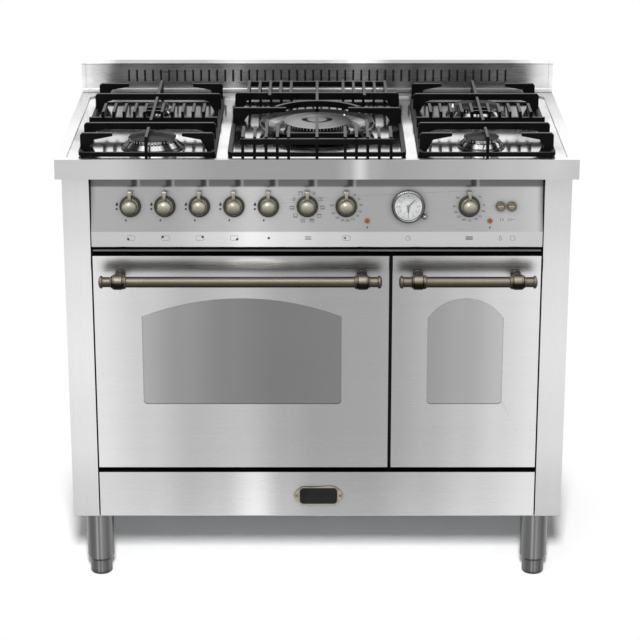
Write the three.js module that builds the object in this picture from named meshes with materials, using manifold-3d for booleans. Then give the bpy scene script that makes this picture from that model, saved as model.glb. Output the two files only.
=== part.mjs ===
// Free-standing range cooker: five gas burners over a large and a small electric oven.
// Millimetres, +Z up. The front faces -Y, and +X is on the right of someone facing it.
// Everything is placed from the front edge of the worktop (y = 0) and the floor (z = 0).
// The last lines centre the whole cooker on its depth.
import * as THREE from "three";
import { mergeVertices } from "three/addons/utils/BufferGeometryUtils.js";
import Module from "manifold-3d";

const wasm = await Module();
wasm.setup();

// ---------------------------------------------------------------- driving dimensions

// Casing
const worktopWidth = 1000;
const worktopDepth = 600;
const sideOverhang = 10.5;
const frontOverhang = 20;
const fasciaHeight = 39;
const postWidth = 52;
const postDepth = 24;
const sheet = 1.5;
const flangeHeight = 25;
const ventLength = 80;
const ventPitch = 110;
const ventOpening = 8;

// Front, from the floor up
const legHeight = 145;
const drawerFoot = 2;
const drawerHeight = 93.4;
const doorFoot = 10.4;
const doorHeight = 441.5;
const ventHeight = 18.2;
const trimRise = 8.5;
const trimHeight = 3.7;
const trimSetback = 3;
const bandHeight = 30.8;
const panelSlope = 86;
const panelTilt = 10;
const recessHeight = 64;

// Clearances
const seatGap = 0.3;
const turnGap = 0.4;
const sideGap = 2.5;
const drawerMouthGap = 4;
const doorGap = 6;

// Doors and ovens
const doorDepth = 34;
const frameGap = 6;
const frameSheet = 2;
const leftDoorWidth = 575.5;
const mouthMargin = 50;
const mouthFoot = 70;
const mouthHead = 42;
const cavityDepth = 420;
const runnerDepth = 12;
const runnerHeight = 4;
const runnerPitch = 110;
const elementRadius = 3.5;
const elementDrop = 22;
const elementInset = 40;
const elementReach = 60;
const windowFoot = 135.2;
const windowHead = 86.5;
const windowCorner = 8;
const glassThickness = 4;
const glassOverlap = 12;
const doorPivotInset = 17;
const doorPivotRise = 13;
const hingeInset = 40;
const armWidth = 8;
const armHeight = 9;
const pinRadius = 4;
const cheekWidth = 4;
const rackBar = 6;
const rackWire = 4;
const rackPitch = 36;
const fanSetback = 28;
const fanReach = 68;
const fanBladeWidth = 28;
const fanBladeSheet = 1.6;
const fanHubRadius = 16;
const fanShaft = 5;
const motorWidth = 80;
const motorDepth = 50;

// Drawer
const drawerFrontDepth = 18;
const drawerBoxInset = 35;
const drawerBoxRise = 9;
const drawerBoxHeight = 66;
const drawerBoxDepth = 400;
const railInset = 55;
const railWidth = 16;

// Handles
const handleReach = 50;
const handleDrop = 37;
const handleBarRadius = 10.3;
const handleCollarRadius = 15;
const handlePostInset = 38.4;
const handlePostRadius = 8;
const handleFlangeRadius = 10;

// Worktop, backsplash and grates
const rimWidth = 21;
const rimFront = 11;
const wellDepth = 3;
const splashDepth = 32;
const splashHeight = 63;
const splashCapWidth = 8.5;
const slotCount = 48;
const slotPitch = 17.01;
const slotWidth = 4.2;
const slotHeight = 26;
const slotRise = 22.7;
const grateHeight = 40;
const grateFront = 22;
const grateBackGap = 102;
const grateSideGap = 43;
const centreGrateWidth = 342;
const grateGap = 23;
const grateBar = 8;
const grateRib = 5.5;
const grateFootInset = 60;
const crossbarDepth = 13;
const hookReach = 62;
const combPitch = 20.6;
const combFirst = 17;
const combMargin = 28;
const combSetback = -39;
const combReach = 73;
const backFingerReach = 112;
const arcRadius = 92;
const arcSetback = -18;

// Burners, measured from the middle of the grates
const burnerSpread = 130;
const frontBurnerInset = 6;
const burnerSetback = -20;
const wokSetback = -18;
const burnerTop = 22;
const capThickness = 5;
const wokCapThickness = 6;
const burnerCup = 30;

// Controls
const controlHeight = 49;
const gasKnobFirst = -359.5;
const gasKnobPitch = 66.5;
const functionKnobX = -18.5;
const thermostatKnobX = 56.5;
const clockX = 176;
const smallOvenKnobX = 293.5;
const buttonFirst = 354;
const buttonPitch = 21.5;
const knobRadius = 20.5;
const knobDomeRadius = 12.5;
const knobReach = 38;
const leverLength = 35;
const leverWidth = 7;
const leverHeadWidth = 13;
const shaftRadius = 3.5;
const clockRadius = 32;
const clockBodyRadius = 24;
const arborRadius = 1.2;
const handSheet = 0.8;
const crownAngle = 32;
const buttonRadius = 9;
const stemRadius = 5.5;
const buttonTravel = 2.5;

// Legs
const legInset = 47.5;
const legSetback = 55;
const sleeveRadius = 27.3;
const footRadius = 22.2;
const footShow = 33;
const footStop = 15;

// ---------------------------------------------------------------- derived planes

const halfTop = worktopWidth / 2;
const halfBody = halfTop - sideOverhang;
const halfInside = halfBody - sheet - seatGap;
const frontY = frontOverhang;
const frameY = frontY + doorDepth + frameGap;
const backY = worktopDepth - 2;
const rearInside = backY - sheet - seatGap;

const baseZ = legHeight;
const drawerBottom = baseZ + drawerFoot;
const drawerTop = drawerBottom + drawerHeight;
const doorBottom = drawerTop + doorFoot;
const doorTop = doorBottom + doorHeight;
const bandBottom = doorTop + ventHeight;
const foldZ = bandBottom + bandHeight;
const tilt = THREE.MathUtils.degToRad(panelTilt);
const slopeTop = foldZ + panelSlope * Math.cos(tilt);
const topZ = slopeTop + recessHeight;
const wellZ = topZ - wellDepth;
const deckZ = wellZ - sheet;
const recessY = frontY + panelSlope * Math.sin(tilt);

const halfDoors = halfBody - postWidth - sideGap;
const mouthBottom = doorBottom + mouthFoot;
const mouthTop = doorTop - mouthHead;
const pivotY = frontY + doorPivotInset;
const pivotZ = doorBottom + doorPivotRise;
const grateBack = worktopDepth - grateBackGap;
const grateMid = (grateFront + grateBack) / 2;
const grateTop = topZ + grateHeight;
const sideGrateWidth = halfTop - grateSideGap - grateGap - centreGrateWidth / 2;
const sideGrateX = halfTop - grateSideGap - sideGrateWidth / 2;

const ovens = [
  {
    side: "left",
    doorX: [-halfDoors, -halfDoors + leftDoorWidth],
    windowMargin: 92.8,
    archRise: 37.5,
    handleInset: 15,
    elementRuns: 6,
  },
  {
    side: "right",
    doorX: [-halfDoors + leftDoorWidth + doorGap, halfDoors],
    windowMargin: 70.3,
    archRise: 41.5,
    handleInset: 11,
    elementRuns: 2,
  },
];
for (const oven of ovens) {
  const [left, right] = oven.doorX;
  oven.mouthX = [left + mouthMargin, right - mouthMargin];
  oven.windowX = [left + oven.windowMargin, right - oven.windowMargin];
  oven.hingeX = [left + hingeInset, right - hingeInset];
}

// ---------------------------------------------------------------- materials

const surface = (color, roughness, metalness = 1) =>
  new THREE.MeshStandardMaterial({ color, roughness, metalness });
const brushedSteel = surface(0xb8babc, 0.35);
const polishedSteel = surface(0xd2d4d6, 0.12);
const agedBrass = surface(0x8c8266, 0.3);
const castIron = surface(0x161618, 0.55, 0.2);
const blackEnamel = surface(0x0d0d0f, 0.3, 0);
const ovenEnamel = surface(0x1c1d20, 0.35, 0);
const zincSteel = surface(0x9a9da0, 0.5);
const greyGlass = surface(0x6f7274, 0.06, 0.4);

// ---------------------------------------------------------------- solids

// The closed solid of a geometry whose faces point out
function toSolid(geometry) {
  const bare = geometry.index ? geometry.toNonIndexed() : geometry.clone();
  bare.deleteAttribute("normal");
  bare.deleteAttribute("uv");
  const merged = mergeVertices(bare, 1e-4);
  const corners = merged.index.array;
  const triangles = [];
  for (let i = 0; i < corners.length; i += 3) {
    const [a, b, c] = corners.slice(i, i + 3);
    if (a !== b && b !== c && c !== a) triangles.push(a, b, c);
  }
  return new wasm.Manifold(new wasm.Mesh({
    numProp: 3,
    vertProperties: merged.attributes.position.array,
    triVerts: new Uint32Array(triangles),
  }));
}

function toGeometry(solid) {
  const { vertProperties, triVerts } = solid.getMesh();
  const geometry = new THREE.BufferGeometry();
  geometry.setAttribute("position", new THREE.BufferAttribute(vertProperties, 3));
  geometry.setIndex(new THREE.BufferAttribute(triVerts, 1));
  geometry.computeVertexNormals();
  return geometry;
}

const join = (solids) => solids.reduce((whole, solid) => whole.add(solid));
const cut = (solid, tools) => tools.reduce((rest, tool) => rest.subtract(tool), solid);

function block([x0, x1], [y0, y1], [z0, z1]) {
  const geometry = new THREE.BoxGeometry(x1 - x0, y1 - y0, z1 - z0);
  return toSolid(geometry.translate((x0 + x1) / 2, (y0 + y1) / 2, (z0 + z1) / 2));
}

function extrude(shape, length, curveSegments = 4) {
  return new THREE.ExtrudeGeometry(shape, { depth: length, bevelEnabled: false, curveSegments });
}

// An outline in (y, z) swept from x0 to x1
function sweepX(shape, [x0, x1]) {
  const turn = new THREE.Matrix4().set(0, 0, 1, x0, 1, 0, 0, 0, 0, 1, 0, 0, 0, 0, 0, 1);
  return toSolid(extrude(shape, x1 - x0).applyMatrix4(turn));
}

// An outline in (x, z) swept from y0 to y1
function sweepY(shape, [y0, y1], curveSegments = 4) {
  const geometry = extrude(shape, y1 - y0, curveSegments);
  return toSolid(geometry.rotateX(Math.PI / 2).translate(0, y1, 0));
}

// An outline in (x, y) swept from z0 to z1
function sweepZ(shape, [z0, z1], curveSegments = 4) {
  return toSolid(extrude(shape, z1 - z0, curveSegments).translate(0, 0, z0));
}

// A profile of [radius, height] turned about +Z, listed upwards from axis to axis
function turnedGeometry(profile, segments) {
  const points = profile.map(([r, h]) => new THREE.Vector2(r, h));
  return new THREE.LatheGeometry(points, segments).rotateX(Math.PI / 2);
}
const turned = (profile, segments) => toSolid(turnedGeometry(profile, segments));

// A profile of [radius, reach] turned about -Y, listed outwards from the panel
const turnedForward = (profile, segments) =>
  toSolid(turnedGeometry(profile, segments).rotateX(Math.PI / 2));

const rod = (radius, [h0, h1], segments) =>
  turned([[0, h0], [radius, h0], [radius, h1], [0, h1]], segments);
const rodForward = (radius, [h0, h1], segments) =>
  turnedForward([[0, h0], [radius, h0], [radius, h1], [0, h1]], segments);

// A rod along X at (y, z)
function rodX(radius, [x0, x1], [y, z], segments) {
  const profile = [[0, x0], [radius, x0], [radius, x1], [0, x1]];
  const geometry = turnedGeometry(profile, segments).rotateY(Math.PI / 2);
  return toSolid(geometry.translate(0, y, z));
}

function polygon(points) {
  return new THREE.Shape(points.map(([u, v]) => new THREE.Vector2(u, v)));
}

function roundedRectangle([x0, x1], [y0, y1], radius) {
  const shape = new THREE.Shape();
  shape.absarc(x1 - radius, y0 + radius, radius, -Math.PI / 2, 0);
  shape.absarc(x1 - radius, y1 - radius, radius, 0, Math.PI / 2);
  shape.absarc(x0 + radius, y1 - radius, radius, Math.PI / 2, Math.PI);
  shape.absarc(x0 + radius, y0 + radius, radius, Math.PI, 1.5 * Math.PI);
  return shape;
}

// The closed outline of a sheet folded along a line; its thickness lies left of the line
function foldedSheet(points, thickness) {
  const line = points.map(([u, v]) => new THREE.Vector2(u, v));
  const direction = (i) => line[i + 1].clone().sub(line[i]).normalize();
  const inner = line.map((point, i) => {
    const before = direction(Math.max(i - 1, 0));
    const after = direction(Math.min(i, line.length - 2));
    const bend = new THREE.Vector2(-before.y - after.y, before.x + after.x).normalize();
    const reach = thickness / (bend.y * before.x - bend.x * before.y);
    return point.clone().addScaledVector(bend, reach);
  });
  return new THREE.Shape([...line, ...inner.reverse()]);
}

// A box without the face that opens towards the given side of its inside
function tray(x, y, z, wall, open) {
  const [insideX, insideY, insideZ] = [x, y, z].map(([low, high]) => [low + wall, high - wall]);
  if (open === "back") insideY[1] = y[1] + wall;
  if (open === "front") insideY[0] = y[0] - wall;
  if (open === "top") insideZ[1] = z[1] + wall;
  return block(x, y, z).subtract(block(insideX, insideY, insideZ));
}

const cooker = new THREE.Group();

function addPiece(name, solid, material) {
  const mesh = new THREE.Mesh(toGeometry(solid), material);
  mesh.name = name;
  cooker.add(mesh);
  return mesh;
}

// ---------------------------------------------------------------- casing

// The floor runs forward between the posts; two rails on it carry the drawer
function basePan() {
  const betweenPosts = halfBody - postWidth - seatGap;
  const floorZ = [baseZ, baseZ + sheet];
  const behindFrame = frameY + frameSheet + seatGap;
  const floor = join([
    block([-halfInside, halfInside], [frontY + postDepth + seatGap, rearInside], floorZ),
    block([-betweenPosts, betweenPosts], [frontY + sheet, rearInside], floorZ),
  ]);
  const flanges = [-halfInside, halfInside - sheet].map((x) =>
    block([x, x + sheet], [behindFrame, rearInside], [baseZ, baseZ + flangeHeight]));
  const railTop = drawerBottom + drawerBoxRise - seatGap;
  const rails = [-1, 1].map((side) => {
    const x = side * (halfDoors - railInset);
    return block([x - railWidth / 2, x + railWidth / 2], [behindFrame, rearInside], [baseZ, railTop]);
  });
  return join([floor, ...flanges, ...rails]);
}

function sidePanel(side) {
  const post = [
    [halfBody, rearInside],
    [halfBody, frontY],
    [halfBody - postWidth, frontY],
    [halfBody - postWidth, frontY + postDepth],
  ];
  const line = post.map(([x, y]) => [side * x, y]);
  if (side > 0) line.reverse();
  return sweepZ(foldedSheet(line, sheet), [baseZ, deckZ - seatGap]);
}

function backPanel() {
  const plate = block([-halfInside, halfInside], [backY - sheet, backY], [baseZ, deckZ - seatGap]);
  const ventRows = [deckZ - 90, deckZ - 150];
  const vents = ventRows.flatMap((z) => [-3, -2, -1, 0, 1, 2, 3].map((i) => {
    const x = i * ventPitch;
    return block(
      [x - ventLength / 2, x + ventLength / 2],
      [backY - 2 * sheet, backY + sheet],
      [z, z + ventOpening]);
  }));
  return cut(plate, vents);
}

// The frame behind the doors, with the oven mouths, the drawer mouth and the hinge slots
function frontFrame() {
  const depth = [frameY, frameY + frameSheet];
  const through = [frameY - frameSheet, frameY + 2 * frameSheet];
  const bottom = baseZ + sheet + seatGap;
  const plate = block([-halfInside, halfInside], depth, [bottom, deckZ - seatGap]);
  const mouths = ovens.map(({ mouthX }) => block(mouthX, through, [mouthBottom, mouthTop]));
  const drawerMouth = block(
    [-drawerBoxHalf - drawerMouthGap, drawerBoxHalf + drawerMouthGap],
    through,
    [
      drawerBottom + drawerBoxRise - drawerMouthGap,
      drawerBottom + drawerBoxRise + drawerBoxHeight + drawerMouthGap,
    ]);
  const slots = ovens.flatMap(({ hingeX }) => hingeX.map((x) => block(
    [x - armWidth / 2 - seatGap, x + armWidth / 2 + seatGap],
    through,
    [pivotZ - armHeight / 2 - seatGap, pivotZ + armHeight / 2 + seatGap])));
  const trimBottom = doorTop + trimRise;
  const trimRib = block(
    [-halfDoors + 1, halfDoors - 1],
    [frontY + trimSetback, depth[1]],
    [trimBottom, trimBottom + trimHeight]);
  return cut(plate, [...mouths, drawerMouth, ...slots]).add(trimRib);
}

// A point on the slanted control panel, rise above its fold and reach out of its face
function onPanel(rise, reach) {
  return {
    y: frontY + rise * Math.sin(tilt) - reach * Math.cos(tilt),
    z: foldZ + rise * Math.cos(tilt) + reach * Math.sin(tilt),
  };
}

// Moves a solid built forwards from y = 0 onto the panel, at x and at a rise above the fold
function toPanel(solid, x, rise) {
  const { y, z } = onPanel(rise, 0);
  return solid.rotate([-panelTilt, 0, 0]).translate([x, y, z]);
}

const gasKnobs = [0, 1, 2, 3, 4].map((i) => gasKnobFirst + i * gasKnobPitch);
const knobs = [...gasKnobs, functionKnobX, thermostatKnobX, smallOvenKnobX];
const buttons = [buttonFirst, buttonFirst + buttonPitch];

function controlPanel() {
  const line = [
    [frameY - seatGap, bandBottom],
    [frontY, bandBottom],
    [frontY, foldZ],
    [recessY, slopeTop],
    [recessY, topZ - 22],
    [frameY - seatGap, topZ - 22],
  ];
  const panel = sweepX(foldedSheet(line.reverse(), sheet), [-halfDoors - 1, halfDoors + 1]);
  const hole = (x, radius, segments) =>
    toPanel(rodForward(radius + turnGap, [-6, 6], segments), x, controlHeight);
  const holes = [
    ...knobs.map((x) => hole(x, shaftRadius, 12)),
    ...buttons.map((x) => hole(x, stemRadius, 14)),
    hole(clockX, clockBodyRadius, 24),
  ];
  return cut(panel, holes);
}

// ---------------------------------------------------------------- worktop and backsplash

// Each burner has the radius of its cap and of the flared ring under it
const burners = [
  { name: "front_left", x: frontBurnerInset - sideGrateX, y: -burnerSpread, cap: 46, ring: 62 },
  { name: "rear_left", x: -sideGrateX, y: burnerSpread, cap: 23.5, ring: 34 },
  { name: "front_right", x: sideGrateX - frontBurnerInset, y: -burnerSpread, cap: 34.5, ring: 46 },
  { name: "rear_right", x: sideGrateX, y: burnerSpread, cap: 46, ring: 62 },
].map((burner) => ({ ...burner, y: grateMid + burnerSetback + burner.y, throat: burner.cap - 8 }));
const wokBurner = { x: 0, y: grateMid + wokSetback, cap: 67, saucer: 115.5, throat: 58 };
const throatGap = 0.6;

function worktop() {
  const top = block([-halfTop, halfTop], [0, worktopDepth], [topZ - fasciaHeight, topZ]);
  const under = block(
    [-halfTop + sheet, halfTop - sheet],
    [sheet, worktopDepth - sheet],
    [topZ - 2 * fasciaHeight, deckZ]);
  const well = sweepZ(
    roundedRectangle(
      [-halfTop + rimWidth, halfTop - rimWidth],
      [rimFront, worktopDepth - splashDepth - 2 * rimWidth],
      14),
    [wellZ, topZ + sheet]);
  const throats = [...burners, wokBurner].map(({ x, y, throat }) =>
    rod(throat + throatGap, [deckZ - sheet, topZ], 24).translate([x, y, 0]));
  return cut(top, [under, well, ...throats]);
}

function backsplash() {
  const front = worktopDepth - 6 - splashDepth;
  const bottom = topZ + seatGap;
  const top = topZ + splashHeight;
  const line = [
    [front - 3, bottom],
    [front - 3, bottom + 7],
    [front, bottom + 8],
    [front, top],
    [front + splashDepth, top],
    [front + splashDepth, bottom],
  ];
  const cover = sweepX(foldedSheet(line.reverse(), sheet), [-halfTop + sheet, halfTop - sheet]);
  const slots = Array.from({ length: slotCount }, (_, i) => {
    const x = (i - (slotCount - 1) / 2) * slotPitch;
    const z = topZ + slotRise;
    return block(
      [x - slotWidth / 2, x + slotWidth / 2],
      [front - sheet, front + 2 * sheet],
      [z, z + slotHeight]);
  });
  const caps = [-halfTop, halfTop - splashCapWidth].map((x) =>
    block([x, x + splashCapWidth], [front - 1, front + splashDepth + 1], [bottom, top + 2]));
  return join([cut(cover, slots), ...caps]);
}

// ---------------------------------------------------------------- ovens

const cavityFront = frameY + frameSheet + seatGap;
const cavityBack = cavityFront + cavityDepth;
const fanY = cavityBack - fanSetback;
const fanZ = (mouthBottom + mouthTop) / 2;
const rackZ = mouthBottom + runnerPitch + 22;
const bite = 0.5;

function ovenCavity({ side, mouthX, elementRuns }) {
  const [left, right] = mouthX;
  const front = cavityFront;
  const back = cavityBack;
  const shell = tray(
    [left - sheet, right + sheet],
    [front, back],
    [mouthBottom - sheet, mouthTop + sheet],
    sheet,
    "front");
  const runners = [-1, 0, 1].flatMap((step) => {
    const top = rackZ + step * runnerPitch;
    return [left - bite, right - runnerDepth + bite].map((x) =>
      block([x, x + runnerDepth], [front + 12, back - 40], [top - runnerHeight, top]));
  });

  // Grill element: one rod laid to and fro under the roof, with both ends in the back wall
  const elementZ = mouthTop - elementDrop;
  const spacing = (right - left - 2 * elementInset) / (elementRuns - 1);
  const route = [];
  for (let run = 0; run < elementRuns; run += 1) {
    const x = left + elementInset + run * spacing;
    const bend = 0.12 * spacing;
    const ends = [back - elementReach, front + elementReach];
    if (run % 2 === 1) ends.reverse();
    if (run === 0) ends[0] = back - bite;
    if (run === elementRuns - 1) ends[1] = back - bite;
    const turnIn = run === 0 ? 0 : bend;
    const turnOut = run === elementRuns - 1 ? 0 : bend;
    route.push(new THREE.Vector3(x + turnIn, ends[0], elementZ));
    route.push(new THREE.Vector3(x, ends[0] + (ends[1] - ends[0]) * 0.06, elementZ));
    route.push(new THREE.Vector3(x, ends[1] - (ends[1] - ends[0]) * 0.06, elementZ));
    route.push(new THREE.Vector3(x + turnOut, ends[1], elementZ));
  }
  const path = new THREE.CatmullRomCurve3(route, false, "catmullrom", 0.1);
  const section = new THREE.Shape().absarc(0, 0, elementRadius, 0, 2 * Math.PI);
  const element = toSolid(new THREE.ExtrudeGeometry(section, {
    steps: elementRuns * 7,
    curveSegments: 3,
    bevelEnabled: false,
    extrudePath: path,
  }));
  const cavity = join([shell, ...runners, element]);
  if (side === "right") return cavity;

  // The fan motor stands behind the back wall of the large oven
  const middle = (left + right) / 2;
  const motor = block(
    [middle - motorWidth / 2, middle + motorWidth / 2],
    [back - bite, back + motorDepth],
    [fanZ - motorWidth / 2, fanZ + motorWidth / 2]);
  const bore = rodForward(fanShaft + turnGap, [-back - motorDepth / 2, -fanY], 12);
  return join([cavity, motor]).subtract(bore.translate([middle, 0, fanZ]));
}

function ovenRack({ mouthX }) {
  const x = [mouthX[0] + 2, mouthX[1] - 2];
  const y = [cavityFront + 18, cavityBack - 48];
  const frameTop = rackZ + seatGap + rackBar;
  const z = [rackZ + seatGap, frameTop];
  const wireZ = [z[0] + (rackBar - rackWire) / 2, frameTop - (rackBar - rackWire) / 2];
  const frame = cut(block(x, y, z), [block(
    [x[0] + rackBar, x[1] - rackBar],
    [y[0] + rackBar, y[1] - rackBar],
    [z[0] - rackBar, z[1] + rackBar])]);
  const wireCount = Math.round((x[1] - x[0]) / rackPitch);
  const wires = Array.from({ length: wireCount - 1 }, (_, i) => {
    const at = x[0] + ((i + 1) * (x[1] - x[0])) / wireCount;
    return block([at - rackWire / 2, at + rackWire / 2], [y[0] + 2, y[1] - 2], wireZ);
  });
  return join([frame, ...wires]);
}

function convectionFan({ mouthX }) {
  const blades = Array.from({ length: 8 }, (_, i) => block(
    [fanHubRadius - 6, fanReach],
    [-fanBladeWidth / 2, fanBladeWidth / 2],
    [-fanBladeSheet / 2, fanBladeSheet / 2],
  ).rotate([28, 0, 0]).rotate([0, i * 45, 0]));
  const hub = rodForward(fanHubRadius, [-fanBladeWidth / 2, fanBladeWidth / 2], 16);
  const shaftLength = cavityBack + motorDepth / 2 - seatGap - fanY;
  const shaft = rodForward(fanShaft, [-shaftLength, 0], 12);
  return join([hub, shaft, ...blades]).translate([(mouthX[0] + mouthX[1]) / 2, fanY, fanZ]);
}

// ---------------------------------------------------------------- doors

const linerSheet = 4;
const skinDepth = doorDepth - linerSheet;

// The arched outline of a door's window, grown outwards by a margin
function windowShape({ windowX, archRise }, margin) {
  const [left, right] = [windowX[0] - margin, windowX[1] + margin];
  const bottom = doorBottom + windowFoot - margin;
  const peak = doorTop - windowHead + margin;
  const half = (right - left) / 2;
  const radius = (half * half + archRise * archRise) / (2 * archRise);
  const sweep = Math.asin(half / radius);
  const shape = new THREE.Shape();
  shape.absarc(left + windowCorner, bottom + windowCorner, windowCorner, Math.PI, 1.5 * Math.PI);
  shape.absarc(right - windowCorner, bottom + windowCorner, windowCorner, 1.5 * Math.PI, 2 * Math.PI);
  shape.absarc(left + half, peak - radius, radius, Math.PI / 2 - sweep, Math.PI / 2 + sweep);
  return shape;
}

// Room for the hinge arms, which stay level while the door swings down past them
const cheekGap = 1;
const cheekReach = armWidth / 2 + cheekGap + cheekWidth;
function hingeNotches({ hingeX }) {
  return hingeX.map((x) => block(
    [x - armWidth / 2 - cheekGap, x + armWidth / 2 + cheekGap],
    [pivotY - armHeight / 2 - 2, frameY],
    [doorBottom - 1, pivotZ + armHeight / 2 + 3]));
}

function doorSkin(oven) {
  const z = [doorBottom, doorTop];
  const pan = tray(oven.doorX, [frontY, frontY + skinDepth], z, sheet, "back");
  const opening = sweepY(windowShape(oven, 0), [frontY - sheet, frontY + 2 * sheet], 8);
  return cut(pan, [opening, ...hingeNotches(oven)]);
}

function doorWindow(oven) {
  const front = frontY + sheet + seatGap;
  return sweepY(windowShape(oven, glassOverlap), [front, front + glassThickness], 6);
}

function doorLiner(oven) {
  const [left, right] = oven.doorX;
  const rear = frontY + doorDepth;
  const front = frontY + skinDepth + seatGap;
  const plate = block([left + 1, right - 1], [front, rear], [doorBottom + 1, doorTop - 1]);
  const opening = sweepY(windowShape(oven, -4), [front - sheet, rear + sheet], 6);
  const cheeks = oven.hingeX.flatMap((x) => [-cheekReach, cheekReach - cheekWidth].map((offset) => {
    return block(
      [x + offset, x + offset + cheekWidth],
      [pivotY - 9, front + bite],
      [doorBottom + sheet + seatGap, pivotZ + 12]);
  }));
  const pinHoles = oven.hingeX.map((x) =>
    rodX(pinRadius + 2 * turnGap, [x - cheekReach - 1, x + cheekReach + 1], [pivotY, pivotZ], 12));
  return cut(join([plate, ...cheeks]), [opening, ...hingeNotches(oven), ...pinHoles]);
}

function doorHinge({ hingeX }) {
  const arms = hingeX.map((x) => block(
    [x - armWidth / 2, x + armWidth / 2],
    [pivotY - armHeight / 2, frameY + 45],
    [pivotZ - armHeight / 2, pivotZ + armHeight / 2]));
  const reach = [hingeX[0] - cheekReach - cheekGap, hingeX[1] + cheekReach + cheekGap];
  const pin = rodX(pinRadius, reach, [pivotY, pivotZ], 12);
  return join([...arms, pin]);
}

function doorHandle({ doorX, handleInset }) {
  const [x0, x1] = [doorX[0] + handleInset, doorX[1] - handleInset];
  const y = frontY - handleReach;
  const z = doorTop - handleDrop;
  const endProfile = [
    [8, 0],
    [12.5, 1.5],
    [13, 5],
    [8, 13],
    [8, 20],
    [handleCollarRadius, 28],
    [handleCollarRadius, 48],
    [12, 52],
    [handleBarRadius, 54],
  ];
  const start = endProfile.map(([r, h]) => [r, x0 + h]);
  const end = endProfile.map(([r, h]) => [r, x1 - h]).reverse();
  const profile = [[0, x0], ...start, ...end, [0, x1]];
  const bar = toSolid(turnedGeometry(profile, 12).rotateY(Math.PI / 2).translate(0, y, z));
  const posts = [x0 + handlePostInset, x1 - handlePostInset].map((x) => {
    const post = turnedForward([
      [0, 0],
      [handleFlangeRadius, 0],
      [handleFlangeRadius, 3],
      [handlePostRadius, 7],
      [handlePostRadius, handleReach - 4],
      [0, handleReach - 4],
    ], 12);
    return post.translate([x, frontY - seatGap, z]);
  });
  return join([bar, ...posts]);
}

// ---------------------------------------------------------------- drawer

const drawerBoxHalf = halfDoors - drawerBoxInset;

function drawer() {
  const front = tray(
    [-halfDoors, halfDoors],
    [frontY, frontY + drawerFrontDepth],
    [drawerBottom, drawerTop],
    sheet,
    "back");
  const drawerBoxFront = frontY + drawerFrontDepth - 2;
  const boxBottom = drawerBottom + drawerBoxRise;
  const box = tray(
    [-drawerBoxHalf, drawerBoxHalf],
    [drawerBoxFront, drawerBoxFront + drawerBoxDepth],
    [boxBottom, boxBottom + drawerBoxHeight],
    sheet,
    "top");
  const bracket = block(
    [-drawerBoxHalf, drawerBoxHalf],
    [frontY + sheet / 2, drawerBoxFront + sheet / 2],
    [boxBottom + 20, boxBottom + 20 + sheet]);
  return join([front, box, bracket]);
}

// ---------------------------------------------------------------- legs

const legX = halfBody - legInset;
const legY = [frontY + legSetback, backY - legSetback];
const sleeveTop = baseZ - seatGap;
const footTop = sleeveTop - footStop;
const cornerNames = [["front_left", "front_right"], ["rear_left", "rear_right"]];

function legSleeve() {
  const bore = footRadius + 2 * turnGap;
  return turned([
    [0, footTop + seatGap],
    [bore, footTop + seatGap],
    [bore, footShow],
    [sleeveRadius - 2.5, footShow],
    [sleeveRadius, footShow + 8],
    [sleeveRadius, sleeveTop - 6],
    [sleeveRadius + 6, sleeveTop - 3],
    [sleeveRadius + 6, sleeveTop],
    [0, sleeveTop],
  ], 16);
}

function foot() {
  return turned([
    [0, 0],
    [footRadius - 2, 0],
    [footRadius, 2],
    [footRadius, footTop],
    [0, footTop],
  ], 16);
}

// ---------------------------------------------------------------- burners

const seatZ = wellZ + seatGap;
const capTop = topZ + burnerTop;
const cupBottom = deckZ - burnerCup;

function burnerBody({ x, y, cap, ring, throat }) {
  const capBottom = capTop - capThickness - seatGap;
  return turned([
    [0, cupBottom],
    [throat * 0.6, cupBottom],
    [throat, cupBottom + 18],
    [throat, seatZ],
    [ring, seatZ],
    [ring, seatZ + 2],
    [ring - 3, seatZ + 4],
    [cap + 3, seatZ + 8],
    [cap - 3, capBottom - 3],
    [cap - 3, capBottom],
    [0, capBottom],
  ], 18).translate([x, y, 0]);
}

function burnerCap({ x, y, cap }) {
  const bottom = capTop - capThickness;
  return turned([
    [0, bottom],
    [cap - 2, bottom],
    [cap, bottom + 1.5],
    [cap - 2, bottom + 3.5],
    [cap * 0.7, capTop],
    [0, capTop],
  ], 18).translate([x, y, 0]);
}

function wokBody({ x, y, cap, saucer, throat }) {
  const capBottom = capTop - wokCapThickness - seatGap;
  const dish = [
    [0, cupBottom],
    [throat * 0.6, cupBottom],
    [throat, cupBottom + 20],
    [throat, seatZ],
    [throat + 14, seatZ],
    [saucer - 8, seatZ + 7],
    [saucer, seatZ + 16],
    [saucer - 3, seatZ + 16],
    [saucer - 11, seatZ + 10],
    [cap + 4, seatZ + 4],
    [cap - 3, capBottom - 3],
    [cap - 3, capBottom],
    [cap - 32, capBottom],
    [cap - 34, seatZ + 6],
    [26, seatZ + 6],
    [24, capBottom - 1],
    [0, capBottom - 1],
  ];
  return turned(dish, 24).translate([x, y, 0]);
}

function wokRing({ x, y, cap }) {
  const bottom = capTop - wokCapThickness;
  return turned([
    [cap - 33, bottom],
    [cap - 1, bottom],
    [cap, bottom + 2],
    [cap - 3, bottom + 4],
    [cap - 30, capTop - 1],
    [cap - 33, bottom + 3],
    [cap - 33, bottom],
  ], 24).translate([x, y, 0]);
}

function wokInnerCap({ x, y }) {
  const bottom = capTop - wokCapThickness - 1;
  return turned([
    [0, bottom],
    [25, bottom],
    [26.5, bottom + 2],
    [25, bottom + 4],
    [16, bottom + 5.5],
    [0, bottom + 5.5],
  ], 18).translate([x, y, 0]);
}

// ---------------------------------------------------------------- grates

const frameBottom = topZ;
const frameTopZ = topZ + grateBar;

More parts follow.
